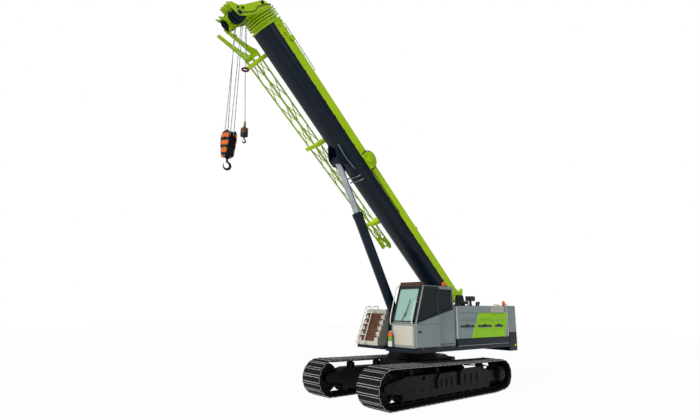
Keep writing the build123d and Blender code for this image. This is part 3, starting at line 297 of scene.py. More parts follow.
class Shape:
    """Plates, bars and turned pieces gathered in one mesh, in the machine's or the boom's directions."""

    def __init__(self, place=as_given):
        self.mesh = bmesh.new()
        self.place = place

    def skin(self, rings, loop=False):
        """Faces between rings of points; the ends are closed unless the rings form a loop."""
        made = [[self.mesh.verts.new(self.place(*point)) for point in ring] for ring in rings]
        count = len(made[0])
        pairs = list(zip(made, made[1:])) + ([(made[-1], made[0])] if loop else [])
        faces = []
        for low, high in pairs:
            for k in range(count):
                following = (k + 1) % count
                faces.append(self.mesh.faces.new((low[k], low[following], high[following], high[k])))
        if not loop:
            faces.append(self.mesh.faces.new(made[0][::-1]))
            faces.append(self.mesh.faces.new(made[-1]))
        return faces

    def plate(self, outline, y0, y1):
        """A plate seen from the side: (x, z) corners, from y0 to y1."""
        self.skin([[(x, y, z) for x, z in outline] for y in (y0, y1)])

    def block(self, x, y, z):
        """A box, from its two ends along each direction."""
        self.plate([(x[0], z[0]), (x[1], z[0]), (x[1], z[1]), (x[0], z[1])], *y)

    def tube(self, points, radius, bend=0.0, sides=12, closed=False):
        """A round tube along points, its corners rounded by the bend radius. Radius may be one per point."""
        points = [Vector(point) for point in points]
        radii = list(radius) if isinstance(radius, (list, tuple)) else [radius] * len(points)
        path = []
        count = len(points)
        for k, point in enumerate(points):
            if bend and (closed or 0 < k < count - 1):
                before, after = points[k - 1] - point, points[(k + 1) % count] - point
                back = min(bend, before.length * 0.45, after.length * 0.45)
                first, last = point + before.normalized() * back, point + after.normalized() * back
                for step in range(7):
                    t = step / 6
                    path.append((first * (1 - t) ** 2 + point * 2 * t * (1 - t) + last * t * t, radii[k]))
            else:
                path.append((point, radii[k]))
        rings = []
        across = None
        for k, (point, size) in enumerate(path):
            ahead = path[(k + 1) % len(path)][0] if closed or k + 1 < len(path) else point
            behind = path[k - 1][0] if closed or k else point
            way = (ahead - behind).normalized()
            if across is None:
                across = way.orthogonal().normalized()
            across = (across - way * across.dot(way)).normalized()
            rings.append(circle(point, across, way.cross(across), size, sides))
        self.skin(rings, loop=closed)

    def turned(self, start, end, profile, sides=40, loop=False):
        """A lathe piece: the profile is (distance from start towards end, radius)."""
        start, end = Vector(start), Vector(end)
        way = (end - start).normalized()
        across = way.orthogonal().normalized()
        other = way.cross(across)
        self.skin([circle(start + way * distance, across, other, size, sides) for distance, size in profile],
                  loop=loop)

    def bolts(self, places, way, size=0.012):
        """Hexagon heads standing on a face, each at a place and pointing along way."""
        way = Vector(way).normalized()
        for place in places:
            place = Vector(place)
            self.turned(place, place + way, [(0, size), (size * 0.6, size), (size * 0.7, size * 0.85)], 6)

    def make(self, name, body, material, slot, replaced=(), edge=0.0):
        """Turns what was gathered into a piece that rides on a body."""
        bmesh.ops.recalc_face_normals(self.mesh, faces=self.mesh.faces)
        data = bpy.data.meshes.new(name)
        self.mesh.to_mesh(data)
        self.mesh.free()
        for face in data.polygons:
            face.use_smooth = True
        data.set_sharp_from_angle(angle=math.radians(35))
        data.materials.append(material)
        piece = bpy.data.objects.new(name, data)
        bpy.context.collection.objects.link(piece)
        if edge:
            rounding = piece.modifiers.new("rounded_edges", "BEVEL")
            rounding.width = edge
            rounding.segments = 2
            rounding.limit_method = "ANGLE"
            rounding.harden_normals = True
        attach(piece, body)
        if replaced:
            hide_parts(*replaced)


# ---- tracks --------------------------------------------------------------
SHOE_PITCH = 0.232
IDLER, SPROCKET = (2.825, 0.575), (-2.9, 0.56)
BELT_WHEELS = (IDLER + (0.575,), SPROCKET + (0.5,), (-2.4, 0.24, 0.24))     # x, z, radius
FACE_BOLTS = [-2.1 + 0.42 * k for k in range(11)]


def belt_line():
    """The line round the belt's wheels, as dense points on their common hull."""
    turns = [math.radians(a / 2) for a in range(720)]
    dots = sorted({(round(x + r * math.cos(turn), 6), round(z + r * math.sin(turn), 6))
                   for x, z, r in BELT_WHEELS for turn in turns})
    halves = []
    for run in (dots, dots[::-1]):
        half = []
        for dot in run:
            while len(half) > 1 and ((half[-1][0] - half[-2][0]) * (dot[1] - half[-2][1])
                                     - (half[-1][1] - half[-2][1]) * (dot[0] - half[-2][0])) <= 0:
                half.pop()
            half.append(dot)
        halves.append(half[:-1])
    return halves[0] + halves[1]


def belt_steps():
    """A place, and the way on, for each shoe."""
    line = belt_line()
    line.append(line[0])
    lengths = [math.dist(a, b) for a, b in zip(line, line[1:])]
    count = round(sum(lengths) / SHOE_PITCH)
    step = sum(lengths) / count
    found, walked, k = [], 0.0, 0
    for number in range(count):
        target = number * step
        while walked + lengths[k] < target:
            walked += lengths[k]
            k += 1
        t = (target - walked) / lengths[k]
        found.append((line[k][0] * (1 - t) + line[k + 1][0] * t, line[k][1] * (1 - t) + line[k + 1][1] * t))
    steps = []
    for number, (x, z) in enumerate(found):
        after, before = found[(number + 1) % count], found[number - 1]
        length = math.dist(after, before)
        steps.append((x, z, (after[0] - before[0]) / length, (after[1] - before[1]) / length))
    return steps


# A shoe and a chain link, seen from the side: along the belt, and out from the shoe's face.
SHOE = [(-0.111, -0.03), (0.111, -0.03), (0.111, -0.014), (0.096, -0.014), (0.091, 0), (0.077, 0),
        (0.072, -0.014), (0.009, -0.014), (0.006, -0.001), (-0.006, -0.001), (-0.009, -0.014),
        (-0.072, -0.014), (-0.077, 0), (-0.091, 0), (-0.096, -0.014), (-0.111, -0.014)]
LINK = [(-0.135, -0.045), (0.1, -0.045), (0.135, -0.06), (0.135, -0.09), (0.1, -0.106), (-0.1, -0.106),
        (-0.135, -0.09)]

for name, side in (("left", 1), ("right", -1)):
    shoes, chain, shoe_highlight_strips = Shape(), Shape(), Shape()
    for x, z, along, rise in belt_steps():
        def at(u, v, x=x, z=z, along=along, rise=rise):
            return (x + u * along + v * rise, z + u * rise - v * along)
        shoes.plate([at(u, v) for u, v in SHOE], side * 0.88, side * 1.78)
        # Pale strips on each shoe's grouser crests and ends: painted highlight along the shoe edges.
        for u in (-0.084, 0.084):
            shoe_highlight_strips.plate([at(u - 0.0085, -0.008), at(u + 0.0085, -0.008), at(u + 0.0075, 0.0008),
                        at(u - 0.0075, 0.0008)], side * 0.885, side * 1.775)
        for end in (0.878, 1.772):
            shoe_highlight_strips.plate([at(-0.1, -0.029), at(0.1, -0.029), at(0.1, -0.0155), at(-0.1, -0.0155)],
                       side * end, side * (end + 0.01))
        for y in (1.225, 1.435):
            chain.plate([at(u, v) for u, v in LINK], side * (y - 0.018), side * (y + 0.018))
        px, pz = at(0.116, -0.076)
        chain.tube([(px, side * 1.19, pz), (px, side * 1.47, pz)], 0.021, sides=8)
        for u in (-0.05, 0.05):
            bx, bz = at(u, -0.012)
            shoes.bolts([(bx, side * y, bz) for y in (1.205, 1.245, 1.415, 1.455)], (rise, 0, -along), 0.013)
    crawler = name + "_crawler"
    shoes.make(name + "_shoe_plates", crawler, track_steel, "dark_steel", (name + "_track_shoes",))
    chain.make(name + "_track_chain", crawler, track_steel, "dark_steel")
    shoe_highlight_strips.make(name + "_painted_shoe_highlights", crawler, bright_steel_and_edge_highlight, "dark_steel")
    hub = Shape()
    x, z = SPROCKET
    hub.turned((x, side * 1.69, z), (x, side * 2.0, z),
               [(0, 0.19), (0.012, 0.19), (0.02, 0.17), (0.02, 0.1), (0.035, 0.09), (0.035, 0.01)])
    hub.bolts([(x + 0.24 * math.cos(k * math.pi / 8), side * 1.69, z + 0.24 * math.sin(k * math.pi / 8))
               for k in range(16)], (0, side, 0), 0.014)
    x, z = IDLER
    hub.turned((x, side * 1.44, z), (x, side * 2.0, z),
               [(0, 0.2), (0.01, 0.2), (0.02, 0.18), (0.02, 0.09), (0.05, 0.08), (0.055, 0.01)])
    hub.make(name + "_hub_caps", crawler, black_enamel, "black_paint")
    frame_bits = Shape()
    face = side * 1.56
    frame_bits.bolts([(x, face, 0.42) for x in FACE_BOLTS], (0, side, 0), 0.016)
    for x in FACE_BOLTS:
        frame_bits.plate([(x - 0.08, 0.37), (x + 0.08, 0.37), (x + 0.06, 0.45), (x - 0.06, 0.45)],
                         face, side * 1.572)
    frame_bits.plate([(2.37, 0.63), (2.42, 0.69), (2.56, 0.69), (2.61, 0.63), (2.56, 0.57), (2.42, 0.57)],
                     face, side * 1.574)
    frame_bits.tube([(-2.5, side * 1.2, 0.6), (-2.3, side * 1.52, 0.86), (-1.9, side * 1.6, 0.92),
                     (-1.2, side * 1.3, 0.95)], 0.02, 0.1)
    frame_bits.make(name + "_frame_fittings", crawler, black_enamel, "black_paint", edge=0.004)


# ---- boom ----------------------------------------------------------------
BASE_SIDE = 0.4195                   # the base section's side face
REEL_ALONG, REEL_UP = 6.59, 0.05
seam, clips, pipes, lime_bits, bolts = (Shape(on_boom) for _ in range(5))
for side in (1, -1):
    seam.block((0.4, 11.84), sorted((side * BASE_SIDE, side * 0.427)), (-0.148, -0.118))
    for k in range(21):
        s = 0.6 + 0.56 * k
        clips.block((s, s + 0.05), sorted((side * BASE_SIDE, side * 0.436)), (-0.165, -0.1))
        bolts.bolts([(s + 0.025, side * 0.436, -0.132)], (0, side, 0), 0.011)
pipes.tube([(9.99, 0.34, 0.24), (9.99, 0.34, 0.35), (11.66, 0.34, 0.35), (11.66, 0.34, 0.24)], 0.013, 0.06)
for s in (10.55, 11.1):
    pipes.tube([(s, 0.34, 0.24), (s, 0.34, 0.35)], 0.011)
pipes.tube([(3.33, 0.3, 0.24), (3.33, 0.3, 0.35), (3.45, 0.3, 0.35), (3.45, 0.3, 0.24)], 0.012, 0.03)
lime_bits.turned((11.15, 0.42, 0.16), (11.15, 1, 0.16),
                 [(0, 0.09), (0.008, 0.09), (0.008, 0.06), (0.04, 0.06), (0.04, 0.09), (0.048, 0.09)])
for s, up in ((11.3, 0.02), (11.45, 0.17), (11.62, 0.03), (11.7, 0.2), (11.78, -0.07)):
    lime_bits.block((s, s + 0.07), (BASE_SIDE, 0.445), (up - 0.03, up + 0.03))
    bolts.bolts([(s + 0.02, 0.445, up), (s + 0.05, 0.445, up)], (0, 1, 0), 0.009)
for s in (11.25, 11.42, 11.6, 11.76):
    for y in (-0.3, -0.1, 0.1, 0.3):
        lime_bits.block((s, s + 0.06), (y - 0.04, y + 0.04), (0.249, 0.275))
lime_bits.turned((REEL_ALONG, 0.489, REEL_UP), (REEL_ALONG, 1, REEL_UP),
                 [(0, 0.12), (0.004, 0.115), (0.03, 0.11), (0.034, 0.02)])
for k in range(12):
    turn = math.radians(-18 + 18 * k)
    spoke = [(REEL_ALONG + out * math.cos(turn), 0.492, REEL_UP + out * math.sin(turn)) for out in (0.12, 0.29)]
    if spoke[1][2] > -0.1:
        lime_bits.tube(spoke, 0.007, sides=6)
lime_bits.make("boom_base_fittings", "boom_base", lime_enamel, "lime_paint", edge=0.003)
hose = Shape(on_boom)
hose.tube([(REEL_ALONG + 0.325 * math.cos(turn), 0.455, REEL_UP + 0.325 * math.sin(turn))
           for turn in (math.radians(a) for a in range(-20, 206, 6))], 0.016)
hose.tube([(6.27, 0.44, -0.08), (6.0, 0.436, -0.06), (5.2, 0.434, -0.085), (4.4, 0.434, -0.085)], 0.011, 0.1)
hose.make("reel_cable", "boom_base", black_rubber, "black_paint")
seam.make("seam_strip", "boom_base", black_rubber, "black_paint")
clips.make("seam_clips", "boom_base", navy_enamel, "navy_paint", edge=0.003)
pipes.make("boom_rail", "boom_base", lime_enamel, "lime_paint")
belly = Shape(on_boom)
for s in (6.25, 6.42):
    belly.tube([(s, -0.3, -0.5), (s, -0.3, -0.58), (s, 0.3, -0.58), (s, 0.3, -0.5)], 0.018, 0.04)
for y in (0.29, -0.29):
    belly.tube([(6.7, y, -0.56), (7.2, y, -0.62), (7.7, y, -0.57)], 0.014, 0.1)
belly.make("cylinder_hoses", "boom_base", grey_enamel, "grey_paint")
lamp = Shape(on_boom)
lamp.turned((11.4, 0.419, 0.05), (11.4, 1, 0.05), [(0, 0.03), (0.02, 0.03), (0.035, 0.02), (0.04, 0.004)], 20)
lamp.make("boom_marker_lamp", "boom_base", beacon_plastic, "lamp_orange")
for number in range(1, 6):
    start = 11.86 + 0.08 * (number - 1)
    edge = Shape(on_boom)
    middle = start + 0.0225
    for side in (1, -1):
        edge.bolts([(middle, side * 0.45, up) for up in (-0.3, -0.05, 0.08, 0.2)], (0, side, 0), 0.011)
    edge.bolts([(middle, y, 0.28) for y in (-0.33, -0.27, -0.16, 0.16, 0.27, 0.33)], (0, 0, 1), 0.011)
    for y in (-0.22, 0.22):
        edge.block((start + 0.004, start + 0.041), (y - 0.04, y + 0.04), (0.279, 0.3))
    edge.make("collar_bolts_%d" % number, "boom_base" if number == 1 else "section_%d" % number,
              bright_steel_and_edge_highlight, "dark_steel")
bolts.make("boom_bolts", "boom_base", hook_steel, "dark_steel")

# ---- boom head -----------------------------------------------------------
HEAD, HEAD_SIDE = 12.225, 0.465       # where the head starts along the boom, and its cheek's face
HEAD_AXLE, TOP_AXLE = (HEAD + 0.245, -1.035), (HEAD + 0.195, -0.09)
sheaves = Shape(on_boom)
for (s, up), outer, hole, sides_y in ((HEAD_AXLE, 0.225, 0.0455, (0.175, 0.265, 0.4, -0.175, -0.265)),
                                      (TOP_AXLE, 0.13, 0.0355, (0.22, -0.22))):
    for y in sides_y:
        sheaves.turned((s, y, up), (s, y + 1, up),
                       [(-0.023, hole), (-0.023, hole + 0.03), (-0.01, hole + 0.035), (-0.01, outer - 0.045),
                        (-0.023, outer - 0.035), (-0.023, outer), (-0.014, outer), (-0.006, outer - 0.026),
                        (0.006, outer - 0.026), (0.014, outer), (0.023, outer), (0.023, outer - 0.035),
                        (0.01, outer - 0.045), (0.01, hole + 0.035), (0.023, hole + 0.03), (0.023, hole)],
                       48, loop=True)
sheaves.make("turned_sheaves", "section_5", navy_enamel, "navy_paint", ("head_sheaves",))
fittings, head_bolts = Shape(on_boom), Shape(on_boom)
for k in range(8):
    turn = k * math.pi / 4
    head_bolts.bolts([(HEAD_AXLE[0] + 0.085 * math.cos(turn), HEAD_SIDE, HEAD_AXLE[1] + 0.085 * math.sin(turn))],
                     (0, 1, 0), 0.01)
for (s, up), radius, out in ((HEAD_AXLE, 0.06, 0.03), ((HEAD + 0.311, -0.86), 0.035, 0.05),
                             ((HEAD + 0.38, -1.0), 0.03, 0.045), (TOP_AXLE, 0.05, 0.025)):
    fittings.turned((s, HEAD_SIDE, up), (s, 1, up),
                    [(0, radius), (out * 0.8, radius), (out, radius * 0.8), (out, 0.003)], 24)
fittings.turned((HEAD + 0.06, 0.4, 0.11), (HEAD + 0.06, 0.4, 1),
                [(0, 0.035), (0.08, 0.035), (0.095, 0.028), (0.1, 0.003)], 24)
for s, up in ((HEAD + 0.09, 0.0), (HEAD + 0.09, -0.2), (HEAD + 0.09, -0.45), (HEAD + 0.3, -0.5)):
    head_bolts.bolts([(s, HEAD_SIDE, up)], (0, 1, 0), 0.013)
fittings.make("head_fittings", "section_5", navy_enamel, "navy_paint")
head_bolts.make("head_bolts", "section_5", bright_steel_and_edge_highlight, "dark_steel")
cable = Shape(on_boom)
cable.tube([(HEAD + 0.08, 0.47, 0.08), (HEAD + 0.16, 0.475, -0.35), (HEAD + 0.08, 0.475, -0.5),
            (HEAD + 0.15, 0.475, -0.81), (HEAD + 0.23, 0.475, -0.98), (HEAD + 0.31, 0.47, -1.08)], 0.012, 0.16)
cable.make("head_cable", "section_5", black_rubber, "black_paint")
ball = Shape(on_boom)
ball.turned((12.14, -0.98, -0.46), (12.25, -0.98, -0.46),
            [(0, 0.002)] + [(0.04 - 0.04 * math.cos(math.pi * k / 10), 0.04 * math.sin(math.pi * k / 10))
                            for k in range(1, 10)] + [(0.08, 0.002)], 24)
ball.make("jib_marker_lamp", "boom_base", red_plastic, "lamp_orange")

# ---- luffing cylinder ----------------------------------------------------
foot_pin, rod_eye = Vector((0.71, 0, 2.3)), on_boom(7.24, 0, -0.74)
reach = (rod_eye - foot_pin).length
way_y = Vector((0, 1, 0))
barrel, rod = Shape(), Shape()
barrel.turned(foot_pin, rod_eye, [(0.1, 0.13), (0.235, 0.13), (0.24, 0.15), (0.26, 0.165), (3.925, 0.165),
                                  (3.94, 0.172), (3.95, 0.179), (4.08, 0.179), (4.1, 0.172), (4.1, 0.107),
                                  (3.96, 0.107), (3.96, 0.003)], 56)
barrel.turned(foot_pin, foot_pin + way_y, [(-0.15, 0.066), (-0.15, 0.17), (-0.14, 0.18), (0.14, 0.18),
                                           (0.15, 0.17), (0.15, 0.066)], 48, loop=True)
rod.turned(foot_pin, rod_eye, [(reach - 3.85, 0.1), (reach - 3.84, 0.105), (reach - 0.16, 0.105),
                               (reach - 0.12, 0.12), (reach - 0.1, 0.12)], 56)
rod_end = Shape()
rod_end.turned(rod_eye, rod_eye + way_y, [(-0.184, 0.066), (-0.184, 0.14), (-0.175, 0.15), (0.175, 0.15),
                                          (0.184, 0.14), (0.184, 0.066)], 48, loop=True)
barrel.make("turned_barrel", "luff_barrel", navy_enamel, "navy_paint", ("luff_barrel",))
rod.make("chromed_rod", "luff_rod", chrome, "chrome_rod", ("luff_rod",))
rod_end.make("rod_head", "luff_rod", navy_enamel, "navy_paint")

# ---- hooks ---------------------------------------------------------------
BLOCK_X, BLOCK_AXLE = 7.4, 7.285      # the hook block's middle and its sheaves' height
SMALL_X, SMALL_Y = 7.21, 0.52        # where the light hook hangs
cheeks, block_body, block_green = Shape(), Shape(), Shape()
cheek_line = [(-0.15, 7.5), (0.15, 7.5), (0.245, 7.37), (0.245, 7.17), (0.12, 6.76), (-0.12, 6.76),
              (-0.245, 7.17), (-0.245, 7.37)]
for x in (BLOCK_X + 0.1, BLOCK_X - 0.13):
    cheeks.skin([[(x + out, y, z) for y, z in cheek_line] for out in (0, 0.03)])
cheeks.make("striped_cheeks", "main_block", hook_stripes, "hook_orange", ("main_hook_block",), edge=0.012)
block_body.block((BLOCK_X - 0.1, BLOCK_X + 0.1), (-0.11, 0.11), (6.76, 6.87))
block_body.block((BLOCK_X - 0.1, BLOCK_X + 0.1), (-0.06, 0.06), (7.46, 7.5))
block_line = [(-0.232, 7.3), (0.232, 7.3), (0.232, 7.17), (0.113, 6.79), (-0.113, 6.79), (-0.232, 7.17)]
block_body.skin([[(x, y, z) for y, z in block_line] for x in (BLOCK_X - 0.099, BLOCK_X + 0.099)])
block_body.turned((BLOCK_X - 0.145, 0, BLOCK_AXLE), (BLOCK_X + 1, 0, BLOCK_AXLE),
                  [(0, 0.03), (0.004, 0.042), (0.286, 0.042), (0.29, 0.03)], 32)
for x in (BLOCK_X + 0.05, BLOCK_X - 0.05):
    block_body.turned((x, 0, BLOCK_AXLE), (x + 1, 0, BLOCK_AXLE),
                      [(-0.035, 0.043), (-0.035, 0.19), (-0.02, 0.191), (-0.012, 0.174), (0.012, 0.174),
                       (0.02, 0.191), (0.035, 0.19), (0.035, 0.043)], 48, loop=True)
block_body.bolts([(BLOCK_X + 0.13, y, z) for y, z in ((0.08, 7.42), (-0.08, 7.42), (0.17, 7.2), (-0.17, 7.2),
                                                      (0.06, 6.83), (-0.06, 6.83))], (1, 0, 0), 0.013)
block_body.make("block_sheaves", "main_block", black_enamel, "black_paint", edge=0.004)
block_green.block((BLOCK_X + 0.13, BLOCK_X + 0.134), (0.02, 0.075), (6.95, 7.02))
block_green.make("block_plate", "main_block", green_enamel, "lime_paint")


def forged_hook(shape, x, y, top, bottom, scale):
    """A forged hook: a shank with its nut, and a bowl that thins towards its point."""
    radius = (top - bottom) * 0.27
    z = bottom + radius + 0.03 * scale
    shank = top - z - radius * 0.9
    shape.turned((x, y, z + radius * 0.9), (x, y, top),
                 [(0, 0.03 * scale), (shank - 0.05 * scale, 0.03 * scale),
                  (shank - 0.045 * scale, 0.05 * scale), (shank, 0.05 * scale)], 24)
    points, sizes = [], []
    for k in range(27):
        turn = math.radians(90 + 295 * k / 26)
        grown = math.sin(math.pi * min(1.0, (k + 3) / 26))
        points.append((x + radius * math.cos(turn), y, z + radius * math.sin(turn)))
        sizes.append(scale * (0.012 + 0.026 * max(0.0, grown)))
    shape.tube(points, sizes, sides=16)


big_hook, small_hook, small_body, small_link, ring = (Shape() for _ in range(5))
forged_hook(big_hook, BLOCK_X, 0, 6.76, 6.385, 1.0)
big_hook.make("forged_hook", "main_hook", hook_steel, "dark_steel", ("main_hook",))
forged_hook(small_hook, SMALL_X, SMALL_Y, 7.25, 7.065, 0.55)
small_hook.turned((SMALL_X, SMALL_Y, 7.25), (SMALL_X, SMALL_Y, 8),
                  [(0, 0.07), (0.01, 0.1), (0.09, 0.1), (0.09, 0.07)])
small_hook.turned((SMALL_X, SMALL_Y, 7.5), (SMALL_X, SMALL_Y, 8),
                  [(0, 0.045), (0.02, 0.045), (0.03, 0.03), (0.05, 0.03)])
small_hook.make("small_hook", "aux_hook", hook_steel, "dark_steel", ("aux_hook",))
small_body.turned((SMALL_X, SMALL_Y, 7.335), (SMALL_X, SMALL_Y, 8),
                  [(0, 0.1), (0.14, 0.1), (0.155, 0.085), (0.16, 0.04)])
small_body.make("hook_weight", "aux_hook", brown_primer, "brown_paint")
small_link.block((7.185, 7.235), (0.49, 0.55), (7.55, 7.66))
small_link.make("rope_link", "aux_hook", green_enamel, "lime_paint", edge=0.008)
ring.tube([(7.28 + 0.085 * math.cos(k * math.pi / 18), 0.463 + 0.085 * math.sin(k * math.pi / 18), 9.23)
           for k in range(36)], 0.028, closed=True)
ring.tube([(7.28, 0.547, 9.25), (7.36, 0.47, 10.8)], 0.006, sides=6)
ring.make("limit_weight", "aux_hook", maroon_enamel, "brown_paint")

# ---- winches -------------------------------------------------------------
for name, x, z in (("main_winch", -2.95, 2.0), ("aux_winch", -3.45, 2.35)):
    rope = Shape()
    wound = []
    for k in range(25):
        wound += [(-0.288 + 0.023 * k, 0.156), (-0.2765 + 0.023 * k, 0.168)]
    rope.turned((x, 0, z), (x, 1, z), [(-0.29, 0.14)] + wound + [(0.29, 0.14)], 48)
    rope.make(name + "_rope", name, rope_steel, "rope_steel")

# ---- cab -----------------------------------------------------------------
CAB_ROOF, LAMP_HEIGHT = 3.56, 3.625
SHELL_SIDE, DOOR_SIDE = 1.4505, 1.5045      # where trim lies on the cab's shell and on its door
RAKE = (1.509 - 1.109) / (CAB_ROOF - 2.352)  # how far the windscreen leans back for each metre up


def window_band(shape, outer, inner, y0, y1):
    """The dark band between a window's opening and its outer line, as four plates."""
    for k in range(4):
        following = (k + 1) % 4
        shape.plate([outer[k], outer[following], inner[following], inner[k]], y0, y1)


door_window = [(1.409, 2.392), (1.409 - RAKE * 1.058, 3.45), (0.42, 3.45), (0.42, 2.672)]
rear_window = [(0.27, 2.682), (0.27, 3.44), (-0.35, 3.44), (-0.41, 2.872)]
seals, door_seals, door_pane = (Shape() for _ in range(3))
door_pane.plate([(x * 0.999, z) for x, z in door_window], 1.472, 1.478)
wind, back = Shape(), Shape()
wind.plate([(1.489, 2.4123), (1.481, 2.4123), (1.481 - RAKE * 1.05, 3.4617), (1.489 - RAKE * 1.05, 3.4617)],
           0.5483, 1.3697)
wind.make("windscreen", "upperworks", screen_glass, "window_glass", ("cab_windows",))
back.plate([(0.2697, 2.683), (0.2697, 3.4397), (-0.348, 3.4397), (-0.408, 2.873)], 1.42, 1.428)
back.plate([(1.397, 2.4123), (1.047, 3.4397), (-0.318, 3.4397), (-0.4097, 2.4123)], 0.483, 0.491)
back.block((-0.545, -0.537), (0.5983, 1.3197), (2.4723, 2.7817))
back.block((-0.1497, 0.9287), (0.6283, 1.2897), (3.53, 3.538))
back.make("cab_side_glass", "upperworks", dark_glass, "window_glass")
door_pane.make("door_glass", "cab_door", dark_glass, "window_glass")
door_seals.tube([(x, 1.502, z) for x, z in door_window], 0.014, 0.05, 8, closed=True)
seals.tube([(x, 1.449, z) for x, z in rear_window], 0.009, 0.05, 8, closed=True)
seals.tube([(1.509, 0.55, 2.415), (1.509, 1.38, 2.415), (1.509 - RAKE * 1.05, 1.38, 3.46),
            (1.509 - RAKE * 1.05, 0.55, 3.46)], 0.016, 0.06, 8, closed=True)
seals.block((0.285, 0.33), (SHELL_SIDE, 1.458), (1.66, 3.5))
seals.block((-0.51, 0.28), (SHELL_SIDE, 1.4583), (1.683, 1.7))
seals.block((1.5085, 1.514), (0.5, 1.42), (2.345, 2.36))
seals.tube([(1.512, 0.9, 2.42), (1.5, 0.95, 2.5), (1.39, 1.08, 2.86)], 0.009, 0.03, 8)
seals.tube([(1.5, 1.02, 2.56), (1.32, 1.12, 3.1)], 0.011, sides=8)
rear_band = [(0.328, 2.62), (0.328, 3.5), (-0.4, 3.5), (-0.47, 2.8)]
for low, high in ((0.47, 0.548), (1.37, 1.4585)):
    seals.plate([(1.511, 2.36), (1.515, 2.36), (1.1175, 3.55), (1.1135, 3.55)], low, high)
seals.plate([(1.511 - RAKE * 1.06, 3.462), (1.516 - RAKE * 1.06, 3.462), (1.1175, 3.55), (1.1135, 3.55)],
            0.54, 1.38)
window_band(seals, rear_band, rear_window, SHELL_SIDE, 1.456)
seals.make("cab_seals", "upperworks", black_rubber, "trim_plastic")
door_seals.block((1.25, 1.4), (DOOR_SIDE, 1.508), (2.07, 2.13))
door_seals.tube([(1.27, 1.506, 2.1), (1.27, 1.522, 2.1), (1.38, 1.522, 2.1), (1.38, 1.506, 2.1)], 0.008, 0.01, 8)
door_seals.block((0.335, 1.47), (DOOR_SIDE, 1.507), (2.335, 2.342))
door_band = [(1.487, 2.356), (1.092, 3.532), (0.336, 3.532), (0.336, 2.63)]
window_band(door_seals, door_band, door_window, DOOR_SIDE, 1.509)
door_seals.make("door_seals", "cab_door", black_rubber, "trim_plastic")
# A pale warm sheet over the cab's grey front: painted light, the lit tone of the front where the key light falls.
lit_front_sheet = Shape()
lit_front_sheet.plate([(1.508, 1.68), (1.5165, 1.69), (1.5165, 2.27), (1.508, 2.28)], 0.55, 1.37)
lit_front_sheet.make("cab_front_painted_light", "upperworks", cream_enamel, "grey_paint", edge=0.004)
guards = Shape()
guards.tube([(1.12, 0.5, 3.575), (1.3, 0.5, 3.5), (1.61, 0.5, 2.5), (1.6, 0.5, 2.3), (1.5, 0.5, 2.3)], 0.016, 0.1)
guards.tube([(1.5, 1.41, 2.3), (1.61, 1.41, 2.34), (1.6, 1.41, 2.5), (1.42, 1.41, 3.04), (1.33, 1.41, 3.02)],
            0.016, 0.08)
guards.tube([(1.51, 0.52, 1.7), (1.635, 0.52, 1.7), (1.635, 0.52, 2.1), (1.51, 0.52, 2.1)], 0.014, 0.05)
guards.make("cab_guards", "upperworks", white_enamel, "white_paint")
for name, low, high, finish, slot in (("lower", 1.62, 1.79, white_enamel, "white_paint"),
                                      ("middle", 1.79, 1.92, green_enamel, "lime_paint"),
                                      ("upper", 1.92, 2.08, orange_enamel, "hook_orange")):
    board = Shape()
    board.block((1.642, 1.648), (0.43, 0.61), (low, high - 0.003))
    board.make("marker_board_" + name, "upperworks", finish, slot)
lamps, lenses, bezels, slats = (Shape() for _ in range(4))
for x, y, z, r, h in ((-0.33, 1.2, CAB_ROOF, 0.068, 0.17), (-4.15, 1.18, 2.98, 0.063, 0.19)):
    lamps.turned((x, y, z + 0.03), (x, y, z + 1),
                 [(0, r), (h * 0.5, r * 0.97), (h * 0.68, r * 0.85), (h * 0.78, r * 0.5), (h * 0.82, 0.003)], 32)
    bezels.turned((x, y, z), (x, y, z + 1), [(0, r + 0.004), (0.028, r + 0.004), (0.032, r)], 32)
for y in (0.648, 1.23):
    bezels.turned((0.79, y, LAMP_HEIGHT), (2, y, LAMP_HEIGHT),
                  [(0, 0.04), (0.05, 0.058), (0.105, 0.06), (0.105, 0.054), (0.09, 0.05)], 32)
    lenses.turned((0.88, y, LAMP_HEIGHT), (2, y, LAMP_HEIGHT),
                  [(0, 0.05), (0.012, 0.05), (0.02, 0.03), (0.022, 0.003)], 32)
    bezels.tube([(0.84, y, CAB_ROOF), (0.84, y, 3.58)], 0.012)
for k in range(9):
    slats.block((0.9, 0.99), (0.76 + 0.042 * k, 0.785 + 0.042 * k), (CAB_ROOF, 3.615))
slats.block((0.91, 0.98), (0.75, 1.13), (CAB_ROOF, 3.585))
for k in range(16):
    slats.plate([(0.98, 3.575), (1.125, 3.575), (1.1, 3.65), (0.98, 3.65)], 0.51 + 0.057 * k, 0.545 + 0.057 * k)
slats.tube([(1.1, 0.49, 3.655), (1.1, 1.43, 3.655)], 0.012)
bezels.block((0.98, 1.118), (0.5, 1.43), (3.5605, 3.575))
lamps.make("beacons", "upperworks", beacon_plastic, "lamp_orange", ("lamps",))
lenses.make("roof_lamp_lenses", "upperworks", lamp_lens, "white_paint")
bezels.make("roof_lamps", "upperworks", black_plastic, "trim_plastic")
slats.make("roof_slats", "upperworks", brown_primer, "brown_paint", edge=0.003)
marks = Shape()
for x in (-0.35, 0.35, 1.15):
    marks.block((x, x + 0.07), (1.5, 1.512), (1.575, 1.597))
marks.make("side_marker_lamps", "upperworks", beacon_plastic, "lamp_orange", edge=0.004)
inside = Shape()
inside.tube([(1.28, 0.97, 2.3), (1.2, 0.97, 2.5), (1.17, 0.97, 2.56)], 0.02, 0.05)
for y in (0.66, 1.26):
    inside.block((0.15, 0.55), (y - 0.05, y + 0.05), (2.24, 2.31))
    inside.tube([(0.48, y, 2.31), (0.48, y, 2.43)], 0.018, sides=10)
inside.block((-0.02, 0.06), (0.83, 1.09), (2.84, 3.02))
inside.make("cab_controls", "upperworks", black_plastic, "trim_plastic", edge=0.01)

